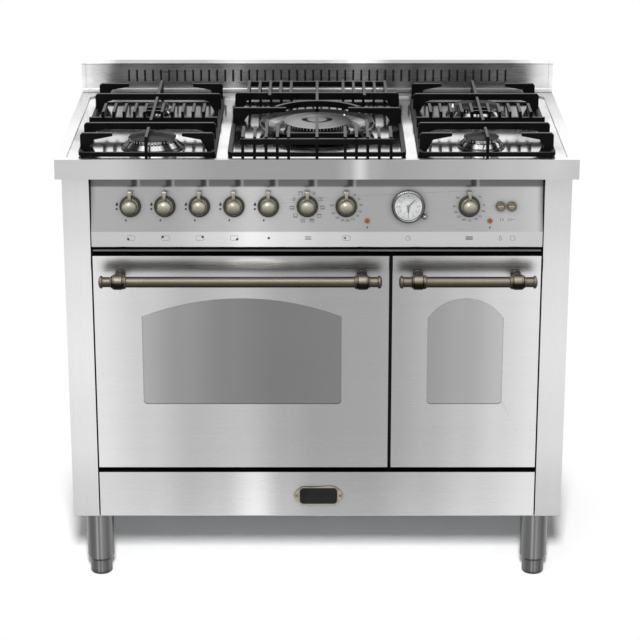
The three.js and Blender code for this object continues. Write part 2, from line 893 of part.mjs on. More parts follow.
function grateFrame(half) {
  const outer = roundedRectangle([-half, half], [grateFront, grateBack], 16);
  const inner = roundedRectangle(
    [-half + grateBar, half - grateBar],
    [grateFront + grateBar, grateBack - grateBar],
    9);
  const ring = sweepZ(outer, [frameBottom, frameTopZ]).subtract(
    sweepZ(inner, [frameBottom - grateBar, frameTopZ + grateBar]));
  const footY = [grateFront + grateFootInset, grateBack - grateFootInset];
  const feet = [-1, 1].flatMap((side) => footY.map((y) => {
    const x = side * (half - grateBar / 2);
    return block([x - 3, x + 3], [y - 5, y + 5], [seatZ, frameBottom + 1]);
  }));
  return join([ring, ...feet]);
}

// A bridge across the grate, standing on both side bars
function crossbar(half, y) {
  const end = half - 3;
  const leg = end - 14;
  const under = grateTop - crossbarDepth;
  const outline = [
    [-end, frameBottom + 3],
    [-leg, frameBottom + 3],
    [-leg + 10, under - 4],
    [-leg + 22, under],
    [leg - 22, under],
    [leg - 10, under - 4],
    [leg, frameBottom + 3],
    [end, frameBottom + 3],
    [end, grateTop - 4],
    [end - 4, grateTop],
    [4 - end, grateTop],
    [-end, grateTop - 4],
  ];
  return sweepY(polygon(outline), [y - grateBar / 2, y + grateBar / 2]);
}

// An arm that rises from one side bar and points inwards
function hook(half, side, y) {
  const end = half - 3;
  const outline = [
    [end, frameBottom + 3],
    [end - 13, frameBottom + 3],
    [end - 26, grateTop - crossbarDepth],
    [end - hookReach, grateTop - 6],
    [end - hookReach, grateTop],
    [end - 4, grateTop],
    [end, grateTop - 4],
  ].map(([x, z]) => [side * x, z]);
  return sweepY(polygon(outline), [y - grateBar / 2, y + grateBar / 2]);
}

// A finger that climbs over the front (or back) bar of the frame and runs inwards to a tip
function finger(x, tip, front = true) {
  const outline = [
    [-10, seatZ],
    [-10, grateTop - 8],
    [-3, grateTop],
    [tip, grateTop],
    [tip, grateTop - 7],
    [16, grateTop - 14],
    [6, frameBottom + 8],
    [4, seatZ],
  ].map(([y, z]) => [front ? grateFront + y : grateBack - y, z]);
  return sweepX(polygon(outline), [x - grateRib / 2, x + grateRib / 2]);
}

function sideGrate() {
  const half = sideGrateWidth / 2;
  const barY = [grateFront + 110, grateBack - 120];
  const hookY = [grateFront + 29, grateBack - 28];
  const combY = grateMid + combSetback;
  const combBarY = [combY, combY + grateBar];
  const ribsEachSide = 1 + Math.floor((half - combMargin - combFirst) / combPitch);
  const ribs = Array.from({ length: ribsEachSide }, (_, i) => combFirst + i * combPitch)
    .flatMap((x) => [-x, x])
    .map((x) => sweepX(polygon([
      [combY, grateTop - 18],
      [combY, grateTop],
      [combY + combReach, grateTop],
      [combY + combReach, grateTop - 8],
      [combY + 11, grateTop - 18],
    ]), [x - grateRib / 2, x + grateRib / 2]));
  const combBar = block(
    [-half + grateBar / 2, half - grateBar / 2],
    combBarY,
    [grateTop - 22, grateTop - 12]);
  const combEnds = [-1, 1].map((side) => {
    const x = side * (half - grateBar);
    return block([x - 4, x + 4], combBarY, [frameBottom + 2, grateTop - 14]);
  });
  const spine = block(
    [-grateRib / 2, grateRib / 2],
    [combY - 67, combY + 129],
    [grateTop - 13, grateTop]);
  const bridges = [12, 39].map((at) => block(
    [-combFirst, combFirst],
    [combY + at, combY + at + 5],
    [grateTop - 8, grateTop - 1]));
  return join([
    grateFrame(half),
    ...barY.map((y) => crossbar(half, y)),
    ...hookY.flatMap((y) => [hook(half, -1, y), hook(half, 1, y)]),
    combBar,
    ...combEnds,
    ...ribs,
    spine,
    ...bridges,
    finger(0, 75),
    finger(0, 124, false),
  ]);
}

function centreGrate() {
  const half = centreGrateWidth / 2;
  const columns = [54, 75.5, 97, 119, 141.5];
  const frontTips = [81, 108, 136, 81, 81];
  const frontFingers = columns.flatMap((x, i) => [finger(-x, frontTips[i]), finger(x, frontTips[i])]);
  const backTips = [0, 0, 21, 0, 0].map((further) => backFingerReach + further);
  const backFingers = columns.flatMap((x, i) =>
    [finger(-x, backTips[i], false), finger(x, backTips[i], false)]);
  const frontTie = block(
    [-columns[4] - 4, columns[4] + 4],
    [grateFront - 9, grateFront - 1],
    [grateTop - 14, grateTop - 3]);
  const backTie = block(
    [-columns[4] - 4, columns[4] + 4],
    [grateBack + 1, grateBack + 9],
    [grateTop - 14, grateTop - 3]);
  const innerTie = block(
    [-columns[0], columns[0]],
    [grateFront + 26, grateFront + 31],
    [grateTop - 7, grateTop]);

  // Half ring over the back of the wok burner, carried by an arm from each side bar
  const arcCentre = wokBurner.y + arcSetback;
  const arc = new THREE.Shape();
  const span = THREE.MathUtils.degToRad(64);
  arc.absarc(0, arcCentre, arcRadius + 4, Math.PI / 2 - span, Math.PI / 2 + span);
  arc.absarc(0, arcCentre, arcRadius - 4, Math.PI / 2 + span, Math.PI / 2 - span, true);
  const ring = sweepZ(arc, [grateTop - 12, grateTop], 10);
  const armY = [arcCentre + 28, arcCentre + 28 + grateBar];
  const arms = [-1, 1].map((side) => sweepY(polygon([
    [side * (half - 3), frameBottom + 3],
    [side * (half - 17), frameBottom + 3],
    [side * (half - 34), grateTop - 14],
    [side * 62, grateTop - 8],
    [side * 62, grateTop],
    [side * (half - 7), grateTop],
    [side * (half - 3), grateTop - 4],
  ]), armY));
  return join([
    grateFrame(half),
    frontTie,
    backTie,
    innerTie,
    crossbar(half, grateBack - backFingerReach + 1),
    ...frontFingers,
    ...backFingers,
    finger(0, arcCentre - 29 - grateFront),
    finger(0, grateBack - arcCentre - arcRadius, false),
    ring,
    ...arms,
  ]);
}

// ---------------------------------------------------------------- controls

function knob(x) {
  const body = turnedForward([
    [0, -14],
    [shaftRadius, -14],
    [shaftRadius, seatGap],
    [knobRadius, seatGap],
    [knobRadius, 4],
    [10, 9],
    [8, knobReach - 18],
    [knobDomeRadius, knobReach - 12],
    [knobDomeRadius, knobReach - 7],
    [knobDomeRadius - 4, knobReach - 2],
    [0, knobReach],
  ], 14);
  const leverTop = 14 - knobReach;
  const stem = block([-leverWidth / 2, leverWidth / 2], [leverTop, leverTop + 7], [0, leverLength]);
  const head = block(
    [-leverHeadWidth / 2, leverHeadWidth / 2],
    [leverTop - 1, leverTop + 8],
    [leverLength - 5.5, leverLength]);
  return toPanel(join([body, stem, head]), x, controlHeight);
}

function clockCase() {
  const profile = [
    [0, -22],
    [clockBodyRadius, -22],
    [clockBodyRadius, seatGap],
    [clockRadius, seatGap],
    [clockRadius, 6],
    [clockRadius - 2.5, 10.5],
    [clockRadius - 5.5, 9.5],
    [clockRadius - 5.5, 4],
    [arborRadius, 4],
    [arborRadius, 9],
    [0, 9],
  ];
  return toPanel(turnedForward(profile, 24), clockX, controlHeight);
}

// A hand lying flat over the dial, pointing up before it is turned clockwise by an angle
function clockHand(length, width, reach, angle) {
  const outline = polygon([
    [-width / 2, 0],
    [-width / 2, 0.6 * length],
    [0, length],
    [width / 2, 0.6 * length],
    [width / 2, 0],
  ]);
  const bore = arborRadius + turnGap;
  const blade = sweepY(outline, [-reach - handSheet, -reach]);
  const disc = rodForward(bore + 1.5, [reach, reach + handSheet], 12);
  const eye = rodForward(bore, [reach - 1, reach + 2 * handSheet], 12);
  return toPanel(join([blade, disc]).subtract(eye).rotate([0, angle, 0]), clockX, controlHeight);
}

function clockCrown() {
  const start = clockRadius + seatGap;
  const ball = turned([
    [0, start],
    [2, start],
    [2, start + 1],
    [4, start + 2.5],
    [4.5, start + 5],
    [3, start + 8],
    [0, start + 9],
  ], 12);
  const radial = ball.rotate([0, 90 + crownAngle, 0]).translate([0, -5, 0]);
  return toPanel(radial, clockX, controlHeight);
}

function pushButton(x) {
  const face = buttonTravel + seatGap;
  const button = turnedForward([
    [0, -12],
    [stemRadius, -12],
    [stemRadius, face],
    [buttonRadius, face],
    [buttonRadius, face + 3],
    [buttonRadius - 1.5, face + 4.5],
    [buttonRadius - 3.5, face + 4],
    [buttonRadius - 4, face + 2.5],
    [0, face + 3],
  ], 14);
  return toPanel(button, x, controlHeight);
}

// ---------------------------------------------------------------- assembly

addPiece("base_pan", basePan(), zincSteel);
addPiece("side_panel_left", sidePanel(-1), brushedSteel);
addPiece("side_panel_right", sidePanel(1), brushedSteel);
addPiece("back_panel", backPanel(), zincSteel);
addPiece("front_frame", frontFrame(), blackEnamel);
addPiece("control_panel", controlPanel(), brushedSteel);
addPiece("worktop", worktop(), brushedSteel);
addPiece("backsplash", backsplash(), brushedSteel);

for (const oven of ovens) {
  addPiece(`oven_cavity_${oven.side}`, ovenCavity(oven), ovenEnamel);
  addPiece(`oven_rack_${oven.side}`, ovenRack(oven), polishedSteel);
  addPiece(`door_skin_${oven.side}`, doorSkin(oven), brushedSteel);
  addPiece(`door_window_${oven.side}`, doorWindow(oven), greyGlass);
  addPiece(`door_liner_${oven.side}`, doorLiner(oven), ovenEnamel);
  addPiece(`door_handle_${oven.side}`, doorHandle(oven), agedBrass);
  addPiece(`door_hinge_${oven.side}`, doorHinge(oven), zincSteel);
}
addPiece("convection_fan", convectionFan(ovens[0]), zincSteel);
addPiece("drawer", drawer(), brushedSteel);

legY.forEach((y, row) => {
  [-legX, legX].forEach((x, column) => {
    const corner = cornerNames[row][column];
    addPiece(`leg_sleeve_${corner}`, legSleeve().translate([x, y, 0]), brushedSteel);
    addPiece(`foot_${corner}`, foot().translate([x, y, 0]), brushedSteel);
  });
});

for (const burner of burners) {
  addPiece(`burner_body_${burner.name}`, burnerBody(burner), polishedSteel);
  addPiece(`burner_cap_${burner.name}`, burnerCap(burner), blackEnamel);
}
addPiece("burner_body_wok", wokBody(wokBurner), polishedSteel);
addPiece("burner_cap_wok_ring", wokRing(wokBurner), blackEnamel);
addPiece("burner_cap_wok_inner", wokInnerCap(wokBurner), blackEnamel);

addPiece("grate_left", sideGrate().translate([-sideGrateX, 0, 0]), castIron);
addPiece("grate_centre", centreGrate(), castIron);
addPiece("grate_right", sideGrate().translate([sideGrateX, 0, 0]), castIron);

gasKnobs.forEach((x, i) => addPiece(`knob_gas_${i + 1}`, knob(x), agedBrass));
addPiece("knob_oven_function", knob(functionKnobX), agedBrass);
addPiece("knob_oven_thermostat", knob(thermostatKnobX), agedBrass);
addPiece("knob_small_oven", knob(smallOvenKnobX), agedBrass);
addPiece("clock_case", clockCase(), agedBrass);
addPiece("clock_hour_hand", clockHand(15, 4, 5, 180), blackEnamel);
addPiece("clock_minute_hand", clockHand(22, 2.4, 7, 45), blackEnamel);
addPiece("clock_crown", clockCrown(), agedBrass);
buttons.forEach((x, i) => addPiece(`push_button_${i + 1}`, pushButton(x), agedBrass));

// Centre the cooker on its depth, from the handle collars to the back edge of the worktop
const overallFront = frontY - handleReach - handleCollarRadius;
cooker.position.y = -(overallFront + worktopDepth) / 2;

export default cooker;
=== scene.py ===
# Looks of the free-standing range cooker: fine surfaces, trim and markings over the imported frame.
# Sizes are written in millimetres in the cooker's own frame and turned into metres on the way in.
import math

import bmesh
import bpy
from mathutils import Matrix, Vector


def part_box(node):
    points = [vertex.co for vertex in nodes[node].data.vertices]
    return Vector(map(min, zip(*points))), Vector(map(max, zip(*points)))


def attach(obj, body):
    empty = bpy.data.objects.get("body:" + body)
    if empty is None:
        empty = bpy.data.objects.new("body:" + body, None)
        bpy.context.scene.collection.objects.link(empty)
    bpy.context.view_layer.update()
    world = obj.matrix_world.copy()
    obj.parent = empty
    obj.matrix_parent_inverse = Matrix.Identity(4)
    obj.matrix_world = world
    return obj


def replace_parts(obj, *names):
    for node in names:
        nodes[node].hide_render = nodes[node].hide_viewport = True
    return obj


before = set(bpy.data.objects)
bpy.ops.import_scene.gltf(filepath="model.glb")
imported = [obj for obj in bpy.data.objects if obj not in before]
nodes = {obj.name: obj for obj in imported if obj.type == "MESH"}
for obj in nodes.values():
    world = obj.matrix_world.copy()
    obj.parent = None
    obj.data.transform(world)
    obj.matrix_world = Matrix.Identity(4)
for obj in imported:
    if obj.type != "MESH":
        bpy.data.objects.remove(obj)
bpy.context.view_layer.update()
scene = bpy.context.scene
MM = 0.001

# ---------------- planes of the cooker

FRONT = -257.5          # faces of the doors, the drawer and the posts
FOLD = 741.3            # where the control panel starts to lean back
TILT = math.radians(10)
ROW = 49.0              # height of the knob row up the slanted panel
ROW_Z = 728.6           # the row of marks on the level band under the fold
WELL = 887.0            # sunk floor of the hob
SEAT = WELL + 0.3       # where the burners stand on it
BAR_Y, BAR_Z = -307.5, 655.3    # middle line of the handle bars
MOUTH_Z = 485.5         # middle height of the ovens
LINER = -223.6          # face of the doors' inner liners
KNOBS = {
    "knob_gas_1": (-359.5, "gas_knob_1"), "knob_gas_2": (-293.0, "gas_knob_2"),
    "knob_gas_3": (-226.5, "gas_knob_3"), "knob_gas_4": (-160.0, "gas_knob_4"),
    "knob_gas_5": (-93.5, "gas_knob_5"), "knob_oven_function": (-18.5, "function_knob"),
    "knob_oven_thermostat": (56.5, "thermostat_knob"), "knob_small_oven": (293.5, "small_oven_knob"),
}
CLOCK = 176.0
BUTTONS = {"push_button_1": (354.0, "light_button"), "push_button_2": (375.5, "timer_button")}
LAMPS = (97.0, 333.5)

# ---------------- shader helpers


class Tree:
    """A node tree with short calls for making and joining nodes."""

    def __init__(self, tree):
        self.tree = tree

    def node(self, kind, **settings):
        made = self.tree.nodes.new(kind)
        for key, value in settings.items():
            setattr(made, key, value)
        return made

    def link(self, source, target):
        self.tree.links.new(source, target)

    def math(self, operation, a, b):
        made = self.node("ShaderNodeMath", operation=operation)
        for slot, value in zip(made.inputs, (a, b)):
            if isinstance(value, (int, float)):
                slot.default_value = value
            else:
                self.link(value, slot)
        return made.outputs[0]


class Shader(Tree):
    """A material's node tree, with its finish as one Principled shader."""

    def __init__(self, name):
        self.material = bpy.data.materials.new(name)
        self.material.use_nodes = True
        super().__init__(self.material.node_tree)
        self.bsdf = self.tree.nodes["Principled BSDF"]
        self.place = self.node("ShaderNodeTexCoord")
        self.coords = self.place.outputs["Object"]

    def scaled(self, scale):
        mapping = self.node("ShaderNodeMapping")
        mapping.inputs["Scale"].default_value = scale
        self.link(self.coords, mapping.inputs["Vector"])
        return mapping.outputs["Vector"]

    def noise(self, size, detail=3.0, rough=0.55, stretch=(1, 1, 1)):
        noise = self.node("ShaderNodeTexNoise")
        noise.inputs["Scale"].default_value = size
        noise.inputs["Detail"].default_value = detail
        noise.inputs["Roughness"].default_value = rough
        self.link(self.scaled(stretch), noise.inputs["Vector"])
        return noise.outputs["Fac"]

    def cells(self, size):
        cells = self.node("ShaderNodeTexVoronoi")
        cells.inputs["Scale"].default_value = size
        self.link(self.scaled((1, 1, 1)), cells.inputs["Vector"])
        return cells.outputs["Distance"]

    def component(self, vector, which):
        split = self.node("ShaderNodeSeparateXYZ")
        self.link(vector, split.inputs[0])
        return split.outputs[which]

    def axis(self, which):
        """One coordinate of the place on the cooker, in metres."""
        return self.component(self.coords, which)

    def facing(self, which):
        """One component of the surface's own direction, in the cooker's frame."""
        return self.component(self.place.outputs["Normal"], which)

    def ramp(self, value, stops, smooth=False):
        """stops: (position, grey or colour)."""
        ramp = self.node("ShaderNodeValToRGB")
        ramp.color_ramp.interpolation = "EASE" if smooth else "LINEAR"
        points = ramp.color_ramp.elements
        while len(points) < len(stops):
            points.new(0.5)
        for point, (position, color) in zip(points, stops):
            point.position = position
            color = (color,) * 3 if isinstance(color, (int, float)) else color
            point.color = (*color, 1.0)
        self.link(value, ramp.inputs["Fac"])
        return ramp.outputs["Color"]

    def hollows(self, distance, low=0.3, high=0.95):
        """1 in the open and 0 deep in a corner or gap."""
        near = self.node("ShaderNodeAmbientOcclusion", samples=6)
        near.inputs["Distance"].default_value = distance
        return self.span(near.outputs["AO"], low, high)

    def span(self, value, low, high, to_low=0.0, to_high=1.0):
        """value's place between low and high, from to_low to to_high and no further."""
        made = self.node("ShaderNodeMapRange")
        for slot, number in zip(("From Min", "From Max", "To Min", "To Max"), (low, high, to_low, to_high)):
            made.inputs[slot].default_value = number
        self.link(value, made.inputs["Value"])
        return made.outputs["Result"]

    def mix(self, a, b, factor, blend="MIX"):
        made = self.node("ShaderNodeMix", data_type="RGBA", blend_type=blend)
        for slot, value in ((made.inputs["Factor"], factor), (made.inputs[6], a), (made.inputs[7], b)):
            if isinstance(value, (int, float)):
                slot.default_value = value if slot.type == "VALUE" else (value, value, value, 1.0)
            elif isinstance(value, tuple):
                slot.default_value = (*value, 1.0)
            else:
                self.link(value, slot)
        return made.outputs[2]

    def times(self, a, b):
        return self.mix(a, b, 1.0, "MULTIPLY")

    def bump(self, height, strength, distance):
        bump = self.node("ShaderNodeBump")
        bump.inputs["Strength"].default_value = strength
        bump.inputs["Distance"].default_value = distance
        self.link(height, bump.inputs["Height"])
        self.link(bump.outputs["Normal"], self.bsdf.inputs["Normal"])

    def done(self, color, rough, bump=None, **values):
        """Joins up the finish and gives its material. bump: (height, strength, metres)."""
        self.link(color, self.bsdf.inputs["Base Color"])
        self.link(rough, self.bsdf.inputs["Roughness"])
        if bump:
            self.bump(*bump)
        for key, value in values.items():
            self.bsdf.inputs[key.replace("_", " ")].default_value = value
        return self.material


def across(s, tones):
    """A soft run of greys over the cooker's width: tones are (x in mm, grey)."""
    place = s.span(s.axis("X"), -0.5, 0.5)
    return s.ramp(place, [((x + 500) / 1000, grey) for x, grey in tones], smooth=True)


def upward(s, tones):
    """A soft run of greys over the cooker's height: tones are (z in mm, grey)."""
    place = s.span(s.axis("Z"), 0.0, 1.0)
    return s.ramp(place, [(z / 1000, grey) for z, grey in tones], smooth=True)


def brushed(name, body, along="x", rough=(0.24, 0.34), anisotropy=0.5, streak=0.03, dark=0.22, finish=None):
    """Brushed stainless steel. body makes its tone from the shader; along is the brush's way; dark is the
    painted shade in its gaps and corners.
    """
    s = Shader(name)
    stretch = {"x": (7, 800, 800), "z": (800, 800, 7)}[along]
    fine = s.noise(1.0, 4.0, 0.6, stretch)
    broad = s.noise(1.0, stretch=tuple(v / 16 for v in stretch))
    stops = [(0.3, 1 - streak), (0.7, 1 + streak)]
    tone = s.times(body(s), s.mix(s.ramp(fine, stops), s.ramp(broad, stops), 0.4))
    # painted shade: the tone darkens by dark in gaps and corners
    tone = s.mix(s.times(tone, dark), tone, s.hollows(0.014))
    sheen = s.span(fine, 0.3, 0.7, *rough)
    if finish:
        tone, sheen = finish(s, tone, sheen)
    if anisotropy:
        tangent = s.node("ShaderNodeTangent", direction_type="RADIAL", axis="Z")
        s.link(tangent.outputs[0], s.bsdf.inputs["Tangent"])
    return s.done(tone, sheen, (fine, 0.12, 0.00003), Metallic=1.0, Anisotropic=anisotropy)


def polished(name, tone, rough, size=60):
    """Polished or satin bare metal with faint handling marks."""
    s = Shader(name)
    cloud = s.noise(size, 4.0)
    scratch = s.noise(1.0, 2.0, stretch=(900, 60, 300))
    tone = s.mix(tone, tuple(c * 0.86 for c in tone), s.span(cloud, 0.35, 0.75))
    sheen = s.mix(s.span(cloud, 0.3, 0.7, *rough), s.span(scratch, 0.4, 0.7, *rough), 0.5)
    return s.done(tone, sheen, (scratch, 0.3, 0.00003), Metallic=1.0)


def aged_brass(name, light, dark, rough, under, painted_shading_by_height=None):
    """Burnished brass, darker in its grooves, with painted shade on the sides that face the floor, down to
    under, and painted light and shade by height where given.
    """
    s = Shader(name)
    cloud = s.noise(30, 4.0, 0.6)
    brush = s.noise(1.0, 3.0, 0.6, (500, 500, 500))
    grooves = s.math("SUBTRACT", 1.0, s.hollows(0.008, 0.4, 0.95))
    worn = s.math("MAXIMUM", s.span(cloud, 0.5, 0.8, 0.0, 0.45), grooves)
    tone = s.times(s.mix(light, dark, worn), s.ramp(brush, [(0.3, 0.9), (0.7, 1.1)]))
    # painted shade on the sides that face the floor, full tone on top
    shade = s.ramp(s.span(s.facing("Z"), -1.0, 1.0), [
        (0.0, under * 0.5), (0.32, under), (0.55, 0.5 + under * 0.5), (0.72, 1.0), (1.0, 1.0)])
    tone = s.times(tone, shade)
    # painted light and shade by height
    if painted_shading_by_height:
        tone = s.times(tone, upward(s, painted_shading_by_height))
    sheen = s.math("ADD", s.span(cloud, 0.3, 0.7, *rough), s.span(worn, 0.0, 1.0, 0.0, 0.12))
    return s.done(tone, sheen, (brush, 0.2, 0.00003), Metallic=1.0)


def turned_steel(name, x, y, tones, low, high, edge):
    """Polished spun steel with painted reflections: tones go once round from the left over the front, with
    painted streaks; edge is painted shade and reflection by height.
    """
    s = Shader(name)
    dx, dy = s.math("SUBTRACT", s.axis("X"), x * MM), s.math("SUBTRACT", s.axis("Y"), y * MM)
    around = s.math("ARCTAN2", dy, dx)
    turn = s.ramp(s.span(around, -math.pi, math.pi), tones, smooth=True)
    # painted reflection streaks round the burner's axis
    streak = s.node("ShaderNodeTexNoise", noise_dimensions="1D")
    streak.inputs["Scale"].default_value = 5.0
    streak.inputs["Detail"].default_value = 2.0
    s.link(around, streak.inputs["W"])
    tone = s.times(turn, s.span(streak.outputs["Fac"], 0.35, 0.65, 0.7, 1.1))
    # painted shade and reflection by height
    rim = s.ramp(s.span(s.axis("Z"), low * MM, high * MM), edge)
    s.link(s.span(rim, 0.1, 0.3), s.bsdf.inputs["Metallic"])
    sheen = s.span(s.noise(60), 0.3, 0.7, 0.10, 0.18)
    return s.done(s.times(tone, rim), sheen, (s.noise(500, 2.0), 0.08, 0.00003), Specular_IOR_Level=0.1)


def plate_grey(name):
    """The wok burner's plate: satin enamel with painted light, lighter on its left and at the front."""
    s = Shader(name)
    skin = s.noise(260)
    # painted light: lighter on the left and at the front
    side = s.span(s.math("SUBTRACT", s.axis("X"), s.math("MULTIPLY", s.axis("Y"), -0.6)), -0.07, 0.05)
    tone = s.ramp(side, [(0.0, 0.27), (0.35, 0.2), (0.7, 0.085), (1.0, 0.05)], smooth=True)
    tone = s.times(tone, s.span(skin, 0.3, 0.7, 0.9, 1.1))
    sheen = s.span(skin, 0.3, 0.7, 0.34, 0.46)
    return s.done(tone, sheen, (skin, 0.3, 0.00008), Specular_IOR_Level=0.12)


def brass_tube(name):
    """Antique brass bar with painted light and shade: light along the top and dark underneath, more so on its
    thick collars, with painted shade in its creases.
    """
    s = Shader(name)
    round_brush = s.noise(1.0, 3.0, 0.6, (900, 12, 12))
    cloud = s.noise(1.0, 3.0, 0.6, (14, 60, 60))
    upright = s.span(s.facing("Z"), -1.0, 1.0)
    # painted highlight along the top and painted shade underneath
    turn = s.ramp(upright, [
        (0.0, (0.004, 0.0035, 0.0027)), (0.22, (0.010, 0.0088, 0.0066)), (0.34, (0.050, 0.043, 0.032)),
        (0.45, (0.075, 0.064, 0.046)), (0.55, (0.110, 0.093, 0.067)), (0.64, (0.215, 0.184, 0.137)),
        (0.73, (0.27, 0.235, 0.18)), (0.82, (0.33, 0.295, 0.238)), (0.89, (0.29, 0.258, 0.208)),
        (0.955, (0.15, 0.133, 0.105)), (1.0, (0.03, 0.027, 0.021))])
    rise = s.math("SUBTRACT", s.axis("Z"), BAR_Z * MM)
    out = s.math("SUBTRACT", s.axis("Y"), BAR_Y * MM)
    square = s.math("ADD", s.math("MULTIPLY", rise, rise), s.math("MULTIPLY", out, out))
    radius = s.math("SQRT", square, 0.0)        # the collars are thicker than 12.9 mm
    # the thick collars get stronger painted light and shade: darker below, lighter on top
    collar_painted_shading = s.ramp(upright, [(0.3, 0.15), (0.5, 0.2), (0.57, 0.6), (0.65, 1.0), (0.8, 1.35)])
    turn = s.mix(turn, s.times(turn, collar_painted_shading), s.span(radius, 0.0129, 0.0134))
    tone = s.times(turn, s.ramp(round_brush, [(0.3, 0.88), (0.7, 1.12)]))
    tone = s.times(tone, s.ramp(cloud, [(0.35, 0.9), (0.7, 1.08)]))
    # painted shade in creases and gaps
    tone = s.mix(s.times(tone, 0.12), tone, s.hollows(0.006, 0.5, 0.92))
    sheen = s.span(round_brush, 0.3, 0.7, 0.34, 0.46)
    return s.done(tone, sheen, (round_brush, 0.15, 0.00003), Metallic=1.0)


def enamel(name, tone, rough, speck_tone=None, peel=0.3, gloss=0.35):
    """Fired enamel: glassy with an orange-peel skin, speckled if speck_tone is given."""
    s = Shader(name)
    skin = s.noise(260)
    cloud = s.span(s.noise(14), 0.4, 0.75)
    shade = s.mix(tone, tuple(c * 1.5 + 0.004 for c in tone), cloud)
    if speck_tone:
        dots = s.ramp(s.cells(420), [(0.0, 1.0), (0.13, 1.0), (0.2, 0.0)])
        shade = s.mix(shade, speck_tone, dots)
    return s.done(shade, s.span(skin, 0.3, 0.7, *rough), (skin, peel, 0.00008),
                  Coat_Weight=gloss, Coat_Roughness=0.08, Specular_IOR_Level=0.5 if gloss else 0.12)


def cast(name):
    """Black enamel over sand-cast iron, with a painted highlight on its upward faces that grows with height.
    """
    s = Shader(name)
    grit = s.noise(900, 4.0, 0.65)
    cloud = s.noise(35)
    base = s.ramp(cloud, [(0.3, (0.0012, 0.0012, 0.0013)), (0.75, (0.003, 0.003, 0.0032))])
    # painted highlight on upward faces, stronger higher up
    height = s.span(s.axis("Z"), 0.893, 0.93, 0.3, 1.0)
    painted_top_highlight = s.math("MULTIPLY", s.span(s.facing("Z"), 0.9, 1.0), height)
    tone = s.mix(base, (0.10, 0.10, 0.102), painted_top_highlight)
    return s.done(tone, s.span(grit, 0.3, 0.7, 0.3, 0.44), (grit, 0.35, 0.0001), Specular_IOR_Level=0.05)


def make_glass(name, tones):
    """Grey mirrored oven glass: a thin metal film under a polished face, over the oven's dark, with painted
    reflections across its width from tones.
    """
    s = Shader(name)
    film = s.noise(3.0, 2.0)
    tone = s.times(across(s, tones), s.ramp(film, [(0.3, 0.97), (0.7, 1.03)]))
    sheen = s.span(s.noise(40), 0.3, 0.7, 0.16, 0.22)
    return s.done(tone, sheen, Metallic=0.85, Coat_Weight=0.6, Coat_Roughness=0.02)


def make_simple(name, tone, rough, size=300, painted_shading_by_height=None, **more):
    """A plain finish with a fine grain, with painted shade and light by height where heights are given."""
    s = Shader(name)
    grain = s.noise(size)
    skin = s.mix(tone, tuple(c * 0.8 for c in tone), s.span(grain, 0.35, 0.7))
    skin = s.times(skin, upward(s, painted_shading_by_height)) if painted_shading_by_height else skin
    sheen = s.span(grain, 0.3, 0.7, rough * 0.85, rough * 1.15)
    return s.done(skin, sheen, (grain, 0.2, 0.00005), **more)


def clear_glass(name):
    """The clock's lens: nearly unseen, with a faint gleam."""
    s = Shader(name)
    smear = s.noise(60)
    tone = s.mix((1.0, 1.0, 1.0), (0.97, 0.98, 0.98), smear)
    return s.done(tone, s.span(smear, 0.3, 0.7, 0.01, 0.04), IOR=1.45, Alpha=0.04)


def frame_finish(name):
    """Black enamel frame, with its trim rib over the doors left bright."""
    s = Shader(name)
    skin = s.noise(260)
    height = s.axis("Z")
    rib = s.math("MULTIPLY", s.span(height, 0.7004, 0.7008), s.span(height, 0.7049, 0.7045))
    # only the rib's front face is steel; its top face stays black as painted shade in the gap above it
    rib = s.math("MULTIPLY", rib, s.span(s.facing("Y"), -0.5, -0.9))
    s.link(rib, s.bsdf.inputs["Metallic"])
    tone = s.mix((0.005, 0.005, 0.0052), (0.17, 0.17, 0.172), rib)
    return s.done(tone, s.span(skin, 0.3, 0.7, 0.36, 0.46), (skin, 0.2, 0.00006), Specular_IOR_Level=0.1)


# ---------------- mesh helpers


def piece(name, mesh, material, body, smooth=35.0):
    """An object at the origin that rides on a body, shaded smooth up to an angle or, with None, flat."""
    if smooth is not None:
        mesh.polygons.foreach_set("use_smooth", [True] * len(mesh.polygons))
        mesh.set_sharp_from_angle(angle=math.radians(smooth))
    made = bpy.data.objects.new(name, mesh)
    made.data.materials.append(material)
    scene.collection.objects.link(made)
    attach(made, body)
    return made


def to_mesh(name, bm, matrix=None):
    if matrix is not None:
        bm.transform(matrix)
    bm.transform(Matrix.Scale(MM, 4))
    bmesh.ops.recalc_face_normals(bm, faces=bm.faces)
    mesh = bpy.data.meshes.new(name)
    bm.to_mesh(mesh)
    bm.free()
    return mesh


def softened(profile, radius, steps=3):
    """Rounds the corners of an open [r, h] profile, except its ends."""
    points = [Vector(p) for p in profile]
    out = [points[0]]
    for before, here, after in zip(points, points[1:], points[2:]):
        a, b = before - here, after - here
        reach = min(radius, a.length * 0.45, b.length * 0.45)
        start, end = here + a.normalized() * reach, here + b.normalized() * reach
        for i in range(steps + 1):
            t = i / steps
            out.append(start * (1 - t) ** 2 + here * 2 * t * (1 - t) + end * t * t)
    out.append(points[-1])
    return out


def disc(r, count, at=(0, 0)):
    """The outline of a disc."""
    turns = [2 * math.pi * i / count for i in range(count)]
    return [(at[0] + r * math.cos(a), at[1] + r * math.sin(a)) for a in turns]


def lathe(name, profile, matrix, material, body, segments, radius, closed=False):
    """A profile of [r, h] in mm turned about local +Z, its corners rounded by radius."""
    points = [Vector(p) for p in profile] if radius == 0 else softened(profile, radius)
    bm = bmesh.new()
    rings = []
    for r, h in points:
        spots = [(0, 0)] if r < 1e-6 else disc(r, segments)
        rings.append([bm.verts.new((x, y, h)) for x, y in spots])
    pairs = list(zip(rings, rings[1:])) + ([(rings[-1], rings[0])] if closed else [])
    for low, high in pairs:
        for i in range(segments):
            j = (i + 1) % segments
            corners = [low[i % len(low)], low[j % len(low)], high[j % len(high)], high[i % len(high)]]
            corners = list(dict.fromkeys(corners))
            if len(corners) > 2:
                bm.faces.new(corners)
    return piece(name, to_mesh(name, bm, matrix), material, body, 32.0)


